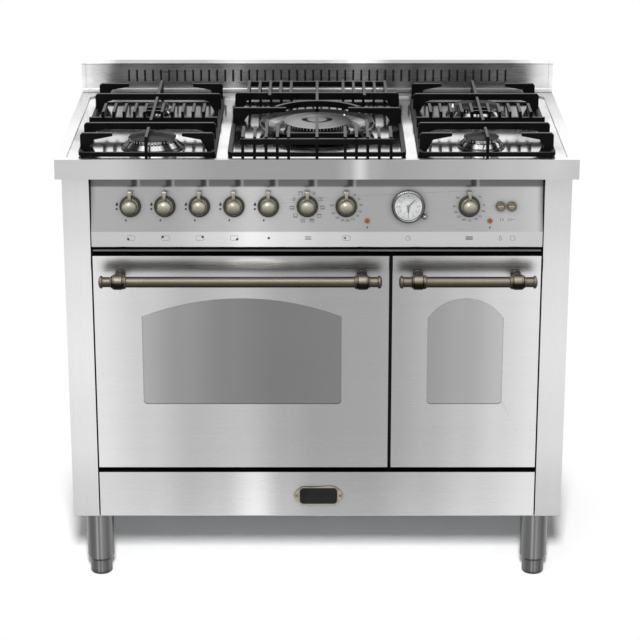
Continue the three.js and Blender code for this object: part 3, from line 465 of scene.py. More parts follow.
def slab(name, outline, depth, matrix, material, body, bevel, smooth=30.0, holes=()):
    """A flat outline in local XY, raised from z = 0 to depth, with rounded edges."""
    bm = bmesh.new()
    edges = []
    for loop in (outline, *holes):
        verts = [bm.verts.new((x, y, 0)) for x, y in loop]
        edges += [bm.edges.new(pair) for pair in zip(verts, verts[1:] + verts[:1])]
    bmesh.ops.triangle_fill(bm, use_beauty=True, use_dissolve=True, edges=edges)
    made = bmesh.ops.extrude_face_region(bm, geom=list(bm.faces))["geom"]
    raised = [v for v in made if isinstance(v, bmesh.types.BMVert)]
    bmesh.ops.translate(bm, vec=(0, 0, depth), verts=raised)
    bmesh.ops.recalc_face_normals(bm, faces=bm.faces)
    if bevel:
        bend = math.radians(50)
        sharp = [e for e in bm.edges if len(e.link_faces) == 2 and e.calc_face_angle(0) > bend]
        bmesh.ops.bevel(
            bm, geom=sharp, offset=bevel, segments=2, profile=0.5, affect="EDGES", clamp_overlap=True)
    return piece(name, to_mesh(name, bm, matrix), material, body, smooth)


def brick(name, low, high, material, body, bevel, matrix=None):
    """A box with rounded edges between two corners."""
    bm = bmesh.new()
    bmesh.ops.create_cube(bm, size=1.0)
    size = Vector(high) - Vector(low)
    bmesh.ops.scale(bm, vec=size, verts=bm.verts)
    bmesh.ops.translate(bm, vec=(Vector(high) + Vector(low)) / 2, verts=bm.verts)
    soft = min(bevel, min(size) * 0.45)
    bmesh.ops.bevel(bm, geom=list(bm.edges), offset=soft, segments=3, profile=0.5, affect="EDGES")
    return piece(name, to_mesh(name, bm, matrix), material, body, 30.0)


def drawn(curve):
    """The mesh of a curve or a text."""
    holder = bpy.data.objects.new(curve.name + "_curve", curve)
    scene.collection.objects.link(holder)
    bpy.context.view_layer.update()
    shaped = holder.evaluated_get(bpy.context.evaluated_depsgraph_get())
    mesh = bpy.data.meshes.new_from_object(shaped)
    bpy.data.objects.remove(holder)
    mesh.materials.clear()
    return mesh


def wires(name, lines, radius, material, body, matrix=Matrix(), closed=False):
    """Round wire along polylines in mm, as one mesh."""
    curve = bpy.data.curves.new(name, "CURVE")
    curve.dimensions = "3D"
    curve.bevel_depth = radius * MM
    curve.bevel_resolution = 4
    curve.use_fill_caps = True
    for line in lines:
        spline = curve.splines.new("POLY")
        spline.points.add(len(line) - 1)
        spline.use_cyclic_u = closed
        for point, co in zip(spline.points, line):
            point.co = (*(matrix @ Vector(co) * MM), 1.0)
    return piece(name, drawn(curve), material, body, 40.0)


def joined(name, parts, material, body, smooth=35.0):
    """Several objects made into one piece, each keeping its place."""
    bm = bmesh.new()
    for part in parts:
        bm.from_mesh(part.data)
        bpy.data.objects.remove(part)
    mesh = bpy.data.meshes.new(name)
    bm.to_mesh(mesh)
    bm.free()
    return piece(name, mesh, material, body, smooth)


def rounded(x0, x1, y0, y1, r, steps=6):
    """The outline of a box with rounded corners."""
    out = []
    centres = ((x1 - r, y0 + r), (x1 - r, y1 - r), (x0 + r, y1 - r), (x0 + r, y0 + r))
    for (cx, cy), start in zip(centres, (-90, 0, 90, 180)):
        for i in range(steps + 1):
            a = math.radians(start + 90 * i / steps)
            out.append((cx + r * math.cos(a), cy + r * math.sin(a)))
    return out


def placed(x, y, z, right=(1, 0, 0), out=(0, -1, 0)):
    """Local X to the right, local Z out of the face, at a point in mm."""
    right, out = Vector(right).normalized(), Vector(out).normalized()
    up = out.cross(right)
    return Matrix.Translation((x, y, z)) @ Matrix((right, up, out)).transposed().to_4x4()


def on_panel(x, rise=ROW, reach=0.0):
    """The slanted panel's own axes: X right, Y up the slope, Z out of it."""
    y = FRONT + rise * math.sin(TILT) - reach * math.cos(TILT)
    z = FOLD + rise * math.cos(TILT) + reach * math.sin(TILT)
    return placed(x, y, z, out=(0, -math.cos(TILT), math.sin(TILT)))


def moved(x, y, z=0.0):
    """A shift in mm."""
    return Matrix.Translation((x, y, z))


def dress(name, material, bevel=None, segments=2):
    """Gives a carried-over node its finish, and rounds its edges."""
    node = nodes[name]
    node.data.materials.clear()
    node.data.materials.append(material)
    if bevel:
        weld = node.modifiers.new("weld", "WELD")
        weld.merge_threshold = 1e-6
        edge = node.modifiers.new("edge", "BEVEL")
        edge.width = bevel * MM
        edge.segments = segments
        edge.limit_method = "ANGLE"
        edge.angle_limit = math.radians(40)
    node.data.polygons.foreach_set("use_smooth", [False] * len(node.data.polygons))


# ---------------- tones by place, which paint light, shade and reflections, and the materials


def door_tone(s):
    """Painted reflections across the doors, and painted shade under the band where they mirror the handle and
    its shadow, with a painted highlight left of the middle.
    """
    # painted reflections across the doors
    face = across(s, [
        (-435, 0.77), (-338, 0.61), (-244, 0.48), (-151, 0.52), (-57, 0.395), (0, 0.355), (90, 0.365),
        (153, 0.38), (222, 0.455), (291, 0.54), (361, 0.655), (435, 0.76)])
    # painted highlight left of the middle, and painted shade elsewhere in the band
    gleam = across(s, [
        (-415, 1.0), (-398, 0.62), (-260, 0.66), (-190, 1.15), (-115, 3.4), (-50, 1.7), (10, 1.15),
        (110, 1.0), (146, 1.1), (165, 0.95), (300, 0.9), (400, 0.8), (425, 1.0)])
    band = s.ramp(s.span(s.axis("Z"), 0.655, 0.692), [
        (0.28, 0.0), (0.42, 0.6), (0.54, 1.0), (0.7, 0.9), (0.87, 0.25), (1.0, 0.0)], smooth=True)
    return s.mix(face, s.times(face, gleam), band)


def drawer_tone(s):
    """The bottom panel with painted reflections: bright at its ends, with a painted highlight left of its
    middle.
    """
    return across(s, [
        (-435, 0.66), (-330, 0.58), (-250, 0.47), (-190, 0.51), (-125, 0.74), (-66, 0.44), (0, 0.35),
        (100, 0.345), (200, 0.44), (320, 0.60), (435, 0.76)])


def panel_tone(s):
    """Painted reflections: the slanted panel mirrors the room and the fold's lower strip mirrors the floor;
    the recess under the worktop gets painted shade.
    """
    band = across(s, [
        (-435, 0.56), (-290, 0.56), (-190, 0.68), (-128, 0.90), (-60, 0.76), (20, 0.62), (110, 0.56),
        (435, 0.58)])
    slope = across(s, [
        (-435, 0.42), (-290, 0.39), (-190, 0.48), (-128, 0.57), (-60, 0.48), (20, 0.41), (110, 0.375),
        (300, 0.41), (380, 0.49), (425, 0.56), (437, 0.3)])
    height = s.axis("Z")
    strip = s.mix(band, slope, s.span(height, 0.7405, 0.7419))      # below and above the fold
    recess = s.span(height, 0.8255, 0.829)                          # under the worktop's front edge
    # painted shade in the recess under the worktop's front edge
    dim = s.ramp(s.span(height, 0.829, 0.851), [(0.0, 0.155), (1.0, 0.115)])
    for x, _ in KNOBS.values():     # each knob's painted reflection, dark in the recess, and a painted highlight beside it
        for shift, width, tone in ((0.0075, 0.008, 0.35), (0.0165, 0.004, 1.9)):
            away = s.math("ABSOLUTE", s.math("SUBTRACT", s.axis("X"), x * MM + shift), 0.0)
            dim = s.mix(s.times(dim, tone), dim, s.span(away, width * 0.3, width))
    return s.mix(strip, dim, recess)


def top_tone(s):
    """Painted reflections on the fascia in front, the deck and its rim above, and the well's light inner
    walls.
    """
    # painted reflections across the fascia and the deck
    front = across(s, [
        (-500, 0.57), (-400, 0.59), (-290, 0.42), (-180, 0.345), (30, 0.34), (60, 0.42), (82, 0.66),
        (104, 0.42), (140, 0.37), (260, 0.43), (380, 0.53), (450, 0.60), (500, 0.56)])
    flat = across(s, [
        (-500, 0.94), (-460, 0.92), (-200, 0.78), (0, 0.74), (200, 0.86), (455, 0.94), (500, 0.95)])
    # painted reflection: the deck darkens towards the back
    deep = s.ramp(s.span(s.axis("Y"), -0.28, 0.29), [
        (0.0, 1.06), (0.4, 1.02), (0.7, 0.8), (1.0, 0.5)], smooth=True)
    # the well's walls lie 479.7 mm from the middle and 275.5 mm in front of it
    inside = s.math("LESS_THAN", s.math("ABSOLUTE", s.axis("X"), 0.0), 0.4797)
    inside = s.math("MULTIPLY", inside, s.span(s.axis("Y"), -0.2765, -0.2755))
    return s.mix(s.mix(front, 0.92, inside), s.times(flat, deep), s.span(s.facing("Z"), 0.3, 0.8))


def sunk_floor(s, tone, sheen):
    """The sunk floor under the grates is polished, with painted reflections in soft patches of light and
    dark.
    """
    sunk = s.math("MULTIPLY", s.span(s.axis("Z"), 0.8882, 0.8876), s.span(s.facing("Z"), 0.8, 0.9))
    cloud = s.noise(1.0, 2.0, stretch=(9, 5, 1))
    painted_reflections = s.ramp(cloud, [(0.36, 0.5), (0.48, 0.8), (0.6, 0.97)], smooth=True)
    return s.mix(tone, painted_reflections, sunk), s.math("SUBTRACT", sheen, s.math("MULTIPLY", sunk, 0.13))


def splash_tone(s):
    """The backsplash with painted reflections: bright at its ends and its foot and darker between."""
    ends = across(s, [
        (-500, 0.88), (-484, 0.9), (-474, 0.78), (-448, 0.64), (-418, 0.34), (-360, 0.35), (-250, 0.32),
        (-166, 0.56), (-90, 0.42), (10, 0.38), (58, 0.55), (84, 1.0), (112, 0.65), (165, 0.26), (330, 0.28),
        (400, 0.28), (445, 0.56), (474, 0.9), (484, 0.95), (500, 0.95)])
    # painted reflections by height, bright at the foot
    foot = s.ramp(s.span(s.axis("Z"), 0.890, 0.953), [
        (0.0, 1.3), (0.12, 1.9), (0.2, 1.25), (0.6, 1.0), (0.93, 0.95), (0.97, 0.6), (1.0, 1.4)])
    return s.times(ends, foot)


def leg_tone(s):
    """Drawn tube with painted reflections, bright and dark lines down its length, and painted shade at the
    floor and under the sleeve's lower edge.
    """
    # painted reflections round the tube
    turn = s.ramp(s.span(s.facing("X"), -1.0, 1.0), [
        (0.0, 0.035), (0.06, 0.17), (0.2, 0.11), (0.34, 0.13), (0.42, 0.32), (0.48, 0.14), (0.56, 0.27),
        (0.64, 0.17), (0.8, 0.10), (0.93, 0.2), (1.0, 0.035)])
    # painted shade at the floor and under the sleeve's lower edge
    foot = s.ramp(s.span(s.axis("Z"), 0.0, 0.04), [
        (0.0, 0.12), (0.08, 0.4), (0.16, 0.85), (0.74, 0.8), (0.8, 0.2), (0.86, 0.3), (0.95, 1.0)])
    return s.times(turn, foot)


def post_tone(s):
    """The side panels and their posts, with painted light, lightest halfway up."""
    rise = upward(s, [
        (145, 0.60), (180, 0.63), (320, 0.76), (500, 0.82), (650, 0.78), (780, 0.68), (880, 0.58)])
    return s.times(rise, across(s, [(-500, 0.98), (-470, 1.0), (430, 0.93), (500, 0.95)]))


STEEL_DOOR = brushed("steel_door", door_tone)
STEEL_DRAWER = brushed("steel_drawer", drawer_tone)
STEEL_PANEL = brushed("steel_panel", panel_tone, anisotropy=0.3)
STEEL_POST = brushed("steel_post", post_tone, "z", anisotropy=0.0, dark=0.5)
STEEL_TOP = brushed("steel_top", top_tone, rough=(0.2, 0.28), anisotropy=0.0, dark=0.6, finish=sunk_floor)
STEEL_SPLASH = brushed("steel_splash", splash_tone, anisotropy=0.0, streak=0.02, dark=0.6)
STEEL_LEG = brushed("steel_leg", leg_tone, "z", (0.2, 0.3), 0.0, streak=0.12, dark=0.35)
ALLOY_SATIN = polished("alloy_satin", (0.62, 0.62, 0.63), (0.22, 0.34))
WIRE_CHROME = polished("wire_chrome", (0.78, 0.78, 0.80), (0.08, 0.16))
ZINC = polished("zinc_sheet", (0.52, 0.53, 0.54), (0.38, 0.5), 25)
SCREW_DARK = polished("screw_dark", (0.20, 0.19, 0.17), (0.3, 0.42))
BRASS_KNOB = aged_brass("brass_knob", (0.50, 0.48, 0.39), (0.16, 0.15, 0.115), (0.30, 0.40), 0.2)
BRASS_DARK = aged_brass("brass_dark", (0.085, 0.082, 0.066), (0.028, 0.026, 0.021), (0.34, 0.44), 0.45)
BRASS_STEP = aged_brass("brass_step", (0.30, 0.29, 0.23), (0.07, 0.066, 0.05), (0.34, 0.44), 0.35)
BRASS_LEVER = aged_brass("brass_lever", (0.46, 0.425, 0.35), (0.20, 0.175, 0.135), (0.28, 0.38), 0.5)
BRASS_BAR = brass_tube("brass_bar")
BRASS_TRIM = aged_brass("brass_trim", (0.50, 0.45, 0.33), (0.18, 0.155, 0.115), (0.30, 0.40), 0.6)
BRASS_BUTTON = aged_brass("brass_button", (0.30, 0.26, 0.19), (0.11, 0.09, 0.065), (0.34, 0.44), 0.5)
BRASS_CROWN = aged_brass("brass_crown", (0.62, 0.61, 0.58), (0.12, 0.115, 0.105), (0.22, 0.32), 0.2)
# painted light and shade round the clock's rim by height: bright at the top, darker at the sides
BRASS_CASE = aged_brass("brass_case", (0.72, 0.71, 0.68), (0.12, 0.115, 0.105), (0.22, 0.32), 0.2, [
    (758, 0.35), (764, 0.6), (772, 0.3), (790, 0.26), (806, 0.36), (815, 0.9), (819, 1.3)])
IRON = cast("cast_iron")
CAP_ENAMEL = enamel("cap_enamel", (0.016, 0.016, 0.017), (0.3, 0.42), gloss=0.0)
CAP_GREY = plate_grey("cap_grey")
BLACK = enamel("black_enamel", (0.005, 0.005, 0.0052), (0.36, 0.46), gloss=0.0)
OVEN = enamel("oven_enamel", (0.018, 0.02, 0.026), (0.14, 0.24), (0.16, 0.17, 0.19))
INK = enamel("panel_ink", (0.02, 0.02, 0.022), (0.5, 0.6), peel=0.1, gloss=0.0)
INK_GREY = enamel("panel_ink_grey", (0.085, 0.085, 0.09), (0.5, 0.6), peel=0.1, gloss=0.0)
# painted reflections across the oven glass
GLASS = make_glass("grey_glass", [
    (-345, 0.345), (-270, 0.245), (-180, 0.185), (-70, 0.155), (60, 0.165), (100, 0.2), (216, 0.27),
    (290, 0.325), (366, 0.43)])
# painted shadow of the rim and lens over the top of the dial
DIAL = make_simple("clock_dial", (0.285, 0.29, 0.292), 0.5, 120,
                   painted_shading_by_height=[(764, 0.85), (775, 1.0), (797, 1.0), (805, 0.7), (811, 0.5)])
CERAMIC = make_simple("igniter_ceramic", (0.82, 0.8, 0.75), 0.4)
GASKET = make_simple("gasket_rubber", (0.02, 0.02, 0.021), 0.85, 1500)
INNER_GLASS = make_simple("inner_glass", (0.006, 0.006, 0.007), 0.08, 40,
                          Coat_Weight=0.5, Coat_Roughness=0.03)
AMBER = make_simple("amber_lens", (0.10, 0.035, 0.014), 0.3, 500)
AMBER_DARK = make_simple("amber_rim", (0.24, 0.09, 0.032), 0.4, 500)
CLEAR = clear_glass("clear_glass")
FRAME = frame_finish("front_frame_enamel")

# ---------------- carried-over nodes

for side in ("left", "right"):
    dress(f"side_panel_{side}", STEEL_POST, 1.2)
    dress(f"door_skin_{side}", STEEL_DOOR, 1.0)
    dress(f"door_window_{side}", GLASS)
    dress(f"door_liner_{side}", OVEN, 0.8)
    dress(f"oven_rack_{side}", WIRE_CHROME)
    dress(f"door_hinge_{side}", ZINC, 0.5)
    dress(f"oven_cavity_{side}", OVEN)
    dress(f"grate_{side}", IRON, 0.9)
dress("grate_centre", IRON, 0.9)
dress("drawer", STEEL_DRAWER, 1.0)
dress("control_panel", STEEL_PANEL, 1.0)
dress("worktop", STEEL_TOP, 1.4, 3)
dress("backsplash", STEEL_SPLASH, 0.5)
dress("base_pan", ZINC)
dress("back_panel", ZINC)
dress("front_frame", FRAME, 0.4)
dress("convection_fan", ZINC, 0.3)
dress("clock_hour_hand", INK)
dress("clock_minute_hand", INK)

# ---------------- knobs, buttons and clock

DISC = [(0, 0.4), (20.0, 0.4), (20.5, 1.4), (20.5, 3.6), (19.4, 5.2), (16.6, 5.6), (15.8, 6.6), (15.0, 7.6),
        (12.2, 8.6), (0, 9.2)]
STEP = [(16.4, 5.0), (16.4, 7.0), (15.2, 8.2), (13.0, 8.8), (12.2, 8.0)]
DOME = [(0, 7.0), (9.2, 8.0), (8.4, 12.0), (8.8, 16.0), (12.6, 21.5), (14.8, 25.4), (15.0, 28.2),
        (13.9, 31.8), (10.6, 35.0), (5.6, 37.2), (0, 38.0)]
SHAFT = [(0, -13.8), (3.4, -13.8), (3.4, 0.6), (0, 0.6)]
LEVER = [(-3.4, 0), (-3.2, 15), (-3.3, 23.5), (-5.0, 26.6), (-5.2, 29.6), (-3.8, 31.0),
         (3.8, 31.0), (5.2, 29.6), (5.0, 26.6), (3.3, 23.5), (3.2, 15), (3.4, 0)]
for name, (x, body) in KNOBS.items():
    at = on_panel(x)
    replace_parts(lathe(f"{name}_disc", DISC, at, BRASS_DARK, body, 56, 0.6), name)
    lathe(f"{name}_step", STEP, at, BRASS_STEP, body, 56, 0.5)
    lathe(f"{name}_dome", DOME, at, BRASS_KNOB, body, 48, 1.2)
    lathe(f"{name}_shaft", SHAFT, at, ALLOY_SATIN, body, 20, 0.2)
    slab(f"{name}_lever", LEVER, 7.0, at @ moved(0, 0, 17.2), BRASS_LEVER, body, 1.6, 40)

RING = [(0, -11.8), (5.3, -11.8), (5.3, 2.9), (9.3, 2.9), (9.3, 5.4), (8.6, 6.3), (7.4, 6.5), (6.8, 5.6),
        (6.6, 4.8), (0, 4.6)]
BAR = rounded(-6.4, 6.4, -1.5, 1.5, 1.4)
for name, (x, body) in BUTTONS.items():
    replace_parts(lathe(f"{name}_ring", RING, on_panel(x), BRASS_BUTTON, body, 40, 0.3), name)
    slab(f"{name}_bar", BAR, 1.2, on_panel(x, reach=4.5), BRASS_TRIM, body, 0.4, 40)

CASE = [(0, -21.8), (23.8, -21.8), (23.8, 0.4), (31.8, 0.4), (32.0, 5.0), (31.0, 8.6), (29.2, 10.3),
        (27.4, 9.9), (26.5, 8.4), (26.4, 4.3), (0, 4.3)]
FACE = [(0, 4.35), (26.3, 4.35), (26.3, 4.7), (0, 4.75)]
LENS = [(26.6, 8.9), (20.0, 9.7), (10.0, 10.2), (0, 10.3), (0, 9.8), (10.0, 9.7), (20.0, 9.2), (26.6, 8.4)]
ARBOR = [(0, 4.6), (1.2, 4.6), (1.2, 8.9), (0, 8.9)]
CROWN = [(0, 32.2), (2.0, 32.3), (2.1, 33.4), (3.8, 34.4), (4.9, 36.2), (4.9, 38.0), (3.8, 40.4), (1.8, 41.6),
         (0, 41.8)]
clock = on_panel(CLOCK)
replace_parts(lathe("clock_rim", CASE, clock, BRASS_CASE, "casing", 72, 0.7), "clock_case")
lathe("clock_face", FACE, clock, DIAL, "casing", 64, 0)
lathe("clock_lens", LENS, clock, CLEAR, "casing", 64, 0)
ticks = []
for i in range(60):
    length, width = (3.6, 1.3) if i % 15 == 0 else (2.8, 1.0) if i % 5 == 0 else (1.4, 0.45)
    a, b = width / 2, length / 2
    turn = clock @ Matrix.Rotation(-math.radians(i * 6), 4, "Z") @ moved(0, 23.0 - b, 4.75)
    ticks.append(slab("t", [(-a, -b), (a, -b), (a, b), (-a, b)], 0.12, turn, INK, "casing", 0))
joined("clock_ticks", ticks, INK, "casing", None)


def numerals(name, marks, size, depth, material, body):
    """marks: (text, matrix). Text is centred on each matrix's origin in its XY plane."""
    parts = []
    for text, matrix in marks:
        curve = bpy.data.curves.new(name, "FONT")
        curve.body = text
        curve.size = size
        curve.align_x = curve.align_y = "CENTER"
        curve.extrude = depth / 2
        curve.resolution_u = 3
        mesh = drawn(curve)
        mesh.transform(Matrix.Scale(MM, 4) @ matrix)
        parts.append(bpy.data.objects.new(name + "_part", mesh))
    return joined(name, parts, material, body, None)


hours = []
for i in range(1, 13):
    a = math.radians(i * 30)
    hours.append((str(i), clock @ moved(17.2 * math.sin(a), 17.2 * math.cos(a), 4.85)))
numerals("clock_numbers", hours, 6.6, 0.15, INK, "casing")
lathe("clock_arbor", ARBOR, clock, BRASS_TRIM, "casing", 20, 0.2)
droop = math.radians(32)    # the crown sticks out of the case at the lower right
crown = clock @ placed(0, 0, 5, right=(0, 0, 1), out=(math.cos(droop), -math.sin(droop), 0))
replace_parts(lathe("clock_crown_ball", CROWN, crown, BRASS_CROWN, "crown", 32, 0.3), "clock_crown")

LAMP_RIM = [(3.2, 0.2), (5.0, 0.2), (5.0, 1.2), (4.4, 1.9), (3.7, 1.8), (3.2, 1.2), (3.2, 0.2)]
LAMP_LENS = [(0, 0.2), (3.7, 0.2), (3.7, 1.4), (2.8, 2.4), (1.4, 2.9), (0, 3.0)]
for i, x in enumerate(LAMPS, 1):
    lamp = on_panel(x, 21.0)
    lathe(f"pilot_lamp_{i}_rim", LAMP_RIM, lamp, AMBER_DARK, "casing", 36, 0.2)
    lathe(f"pilot_lamp_{i}_lens", LAMP_LENS, lamp, AMBER, "casing", 36, 0.3)

# ---------------- generic markings on the panel


def stroke(points, width, closed=False):
    """A flat outline for each segment of a line."""
    out = []
    for (x0, y0), (x1, y1) in zip(points, points[1:] + points[:1] if closed else points[1:]):
        away = Vector((y0 - y1, x1 - x0)).normalized() * width / 2
        out.append([(x0 + away.x, y0 + away.y), (x0 - away.x, y0 - away.y),
                    (x1 - away.x, y1 - away.y), (x1 + away.x, y1 + away.y)])
    return out


def printed(name, marks, material):
    """marks: (outline in mm, matrix) printed 0.1 mm proud of the panel."""
    bm = bmesh.new()
    for outline, matrix in marks:
        low = [bm.verts.new(matrix @ Vector((x, y, 0.04))) for x, y in outline]
        high = [bm.verts.new(matrix @ Vector((x, y, 0.14))) for x, y in outline]
        bm.faces.new(high)
        for side in zip(low, low[1:] + low[:1], high[1:] + high[:1], high):
            bm.faces.new(side)
    return piece(name, to_mesh(name, bm), material, "casing", None)


def on_band(x):
    """A mark's place on the level band under the slanted panel."""
    return placed(x, FRONT, ROW_Z)


SIGN_ROWS = {"bars": (0.5, 0.0, -0.5), "top": (0.45,), "foot": (-0.45,), "both": (0.45, -0.45), "fan": (),
             "grill": (0.45, 0.1)}


def symbol(kind, x, y, size):
    """Outlines of one small cooking sign, centred on (x, y)."""
    half, line = size / 2, size * 0.12
    low, high = y - half * 0.8, y + half * 0.8
    box = [(x - half, low), (x + half, low), (x + half, high), (x - half, high)]
    out = [] if kind == "bars" else stroke(box, line, closed=True)
    for row in SIGN_ROWS[kind]:
        level = y + row * size * 0.6
        out += stroke([(x - half * 0.75, level), (x + half * 0.75, level)], line * 1.3)
    if kind == "fan":
        out.append(disc(size * 0.18, 10, (x, y)))
    return out


FLAME = [(0, 3.4), (1.5, 1.0), (1.9, -0.8), (1.0, -2.4), (-1.0, -2.4), (-1.9, -0.8), (-1.2, 0.9), (-0.4, 1.4)]
DROP = [(0, 4.6), (1.6, 1.4), (2.6, -1.2), (2.2, -3.4), (0.8, -4.4), (-0.8, -4.4), (-2.2, -3.4), (-2.6, -1.2),
        (-1.6, 1.4)]
dark, grey = [], []


def mark(shade, at, outlines):
    """Adds outlines to the dark or the grey marks, at a place."""
    shade += [(outline, at) for outline in outlines]


def flame(size, x, y):
    """The gas sign's outline, moved to (x, y)."""
    return [[(px * size + x, py * size + y) for px, py in FLAME]]


# on the slanted panel: signs round the knobs, under the lamps and under the buttons
middles = [on_panel(x) for x, _ in KNOBS.values()]
for at in middles[:5]:
    mark(dark, at, flame(1.35, -26.0, 4.4))
    mark(dark, at, [disc(2.1, 14, (-26.2, -5.0))])
    mark(dark, at, flame(0.9, -9.0, -26.6))
for i, kind in enumerate(("bars", "fan", "both", "top", "grill", "fan", "foot", "both", "bars", "top")):
    turn = math.radians(26 + i * 308 / 9)
    mark(grey, middles[5], symbol(kind, 29.4 * math.sin(turn), 28.6 * math.cos(turn), 7.6))
for x in LAMPS:
    mark(dark, on_panel(x, 21.0), flame(0.8, 0, -12.6))
light, timer = (on_panel(x, ROW - 25.4) for x, _ in BUTTONS.values())
mark(grey, light, stroke([(0.0, -3.2), (0.0, 3.2)], 1.2))
mark(grey, light, stroke([(3.2, 2.6), (6.0, 0), (3.2, -2.6)], 1.1))
mark(grey, timer, stroke([(-6.4, -3.2), (-6.4, 3.2)], 1.1))
mark(grey, timer, stroke([(-3.2, 2.6), (-0.4, 0), (-3.2, -2.6)], 1.1))
mark(grey, timer, stroke([(1.4, 0), (6.0, 0)], 1.2))

# on the level band: what each knob is for
for x, spot in ((-359.0, (-5.2, -2.2)), (-292.5, (-5.2, 2.2)), (-226.0, (5.2, 2.2)), (-159.5, (5.2, -2.2))):
    mark(grey, on_band(x), stroke(rounded(-7.6, 7.6, -4.8, 4.8, 2.4, 2), 0.45, closed=True))
    mark(dark, on_band(x), [disc(2.3, 14, spot)])
mark(dark, on_band(-93.0), [disc(2.3, 14)])
for rise in (2.6, 0.0, -2.6):
    mark(dark, on_band(-17.0), stroke([(-6.0, rise), (6.0, rise)], 0.9))
    mark(grey, on_band(294.0), stroke([(-6.8, rise), (6.8, rise)], 1.7))
mark(grey, on_band(57.0), stroke(rounded(-7.0, 7.0, -4.6, 4.6, 2.0, 2), 0.7, closed=True))
mark(dark, on_band(57.0), [disc(2.0, 14, (-2.6, 0))])
mark(grey, on_band(176.0), stroke(disc(4.6, 16), 0.7, closed=True))
mark(grey, on_band(176.0), stroke([(0, 3.0), (0, 0), (2.2, -1.2)], 0.6))
mark(grey, on_band(354.0), stroke(DROP, 0.9, closed=True))
mark(grey, on_band(378.0), stroke(rounded(-4.4, 4.4, -4.4, 4.4, 1.2, 1), 0.7, closed=True))
printed("panel_marks_dark", dark, INK)
printed("panel_marks_grey", grey, INK_GREY)

scales = []
for at, turns in ((middles[6], (35, 60, 84, 111, 131, 153, 174, 195, 218, 241, 274)),
                  (middles[7], (47, 85, 109, 134, 153, 180, 202, 224, 246, 270, 307))):
    for i, turn in enumerate(turns):
        turn = math.radians(turn)
        scales.append((str(50 + 25 * i), at @ moved(28.2 * math.sin(turn), 27.6 * math.cos(turn), 0.08)))
numerals("panel_numbers", scales, 5.0, 0.1, INK, "casing")

# ---------------- small trim of the casing and the ovens

brick("backsplash_liner", (-488, 286.6, 908), (488, 287.8, 944), BLACK, "casing", 0.4)
BACKWARD = {"right": (-1, 0, 0), "out": (0, 1, 0)}
SCREW = [(0, 0), (4.2, 0), (4.0, 0.9), (2.6, 1.5), (0, 1.7)]


def screws(name, spots, material, body):
    """Pan-head screws on faces that look back."""
    heads = [lathe("t", SCREW, placed(*spot, **BACKWARD), material, body, 20, 0.2) for spot in spots]
    joined(name, heads, material, body)


for side, body, x0, x1 in (("left", "left_door", -385.0, 90.5), ("right", "right_door", 196.5, 385.0)):
    middle, reach = (x0 + x1) / 2, (x1 - x0) / 2 - 14
    mouth = [(x, LINER + 3.7, z) for x, z in rounded(x0 - 8, x1 + 8, 312.8, 658.3, 16, 5)]
    wires(f"oven_gasket_{side}", [mouth], 2.3, GASKET, "casing", closed=True)
    pane = rounded(-reach, reach, -138, 138, 12)
    slab(f"inner_glass_{side}", pane, 1.6, placed(middle, LINER, MOUTH_Z, **BACKWARD), INNER_GLASS, body, 0.4)
    seal = rounded(middle - reach - 1, middle + reach + 1, 346.5, 624.5, 13, 5)
    wires(f"glass_seal_{side}", [[(x, LINER + 0.7, z) for x, z in seal]], 0.9, GASKET, body, closed=True)
    spots = [(x, LINER, z) for x in (x0 - 30, middle, x1 + 30) for z in (292, 676)]
    screws(f"liner_screws_{side}", spots, ZINC, body)

guard = placed(-147.3, 160.0, MOUTH_Z)
rings = [[(x, y, 0) for x, y in disc(r, 48)] for r in (16, 32, 48, 64, 80)]
wires("fan_guard_rings", rings, 1.1, WIRE_CHROME, "casing", guard, closed=True)
spokes = []
for i in range(4):
    a = math.radians(45 + 90 * i)
    spokes.append([(r * math.cos(a), r * math.sin(a), h) for r, h in ((14, 0), (82, 0), (84, -2), (84, -44))])
wires("fan_guard_spokes", spokes, 1.1, WIRE_CHROME, "casing", guard)

low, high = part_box("back_panel")
back, foot, head = high[1] / MM, low[2] / MM, high[2] / MM
spots = [(x, back - 0.1, z) for x in (-470, -235, 0, 235, 470) for z in (foot + 12, head - 50)]
screws("back_screws", spots, SCREW_DARK, "casing")

# ---------------- handles

BAR_END = [     # from the end knob over its neck and the thick collar to where the plain bar starts
    (0, 0), (6.0, 0.4), (10.0, 1.8), (12.2, 4.0), (12.8, 5.6), (12.4, 7.2), (10.4, 8.2), (10.0, 9.6),
    (9.8, 22.4), (10.2, 23.8), (11.9, 24.2), (12.1, 25.4), (11.0, 26.0), (11.0, 26.6), (14.0, 27.2),
    (14.4, 28.4), (13.6, 29.4), (14.8, 30.2), (15.0, 31.6), (15.0, 44.6), (14.6, 45.8), (13.2, 46.4),
    (13.2, 47.0), (14.2, 47.6), (14.2, 48.8), (13.0, 49.6), (13.0, 50.4), (13.4, 51.4), (12.4, 52.6),
    (11.0, 53.2), (10.5, 54.0)]
POST = [(0, 0), (9.6, 0), (10.0, 1.0), (9.4, 2.4), (7.4, 3.4), (6.8, 6.0), (6.8, 24.0), (7.6, 30.0),
        (9.4, 36.0), (0, 38.0)]
for side, body, x0, x1 in (("left", "left_door", -420.0, 125.5), ("right", "right_door", 157.5, 424.0)):
    line = BAR_END + [(r, x1 - x0 - h) for r, h in reversed(BAR_END)]
    along = placed(x0, BAR_Y, BAR_Z, right=(0, 0, 1), out=(1, 0, 0))
    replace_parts(lathe(f"handle_bar_{side}", line, along, BRASS_BAR, body, 56, 0.5), f"door_handle_{side}")
    for i, x in enumerate((x0 + 38.4, x1 - 38.4), 1):
        lathe(f"handle_post_{side}_{i}", POST, placed(x, FRONT - 0.3, BAR_Z), BRASS_DARK, body, 40, 0.6)

# ---------------- legs

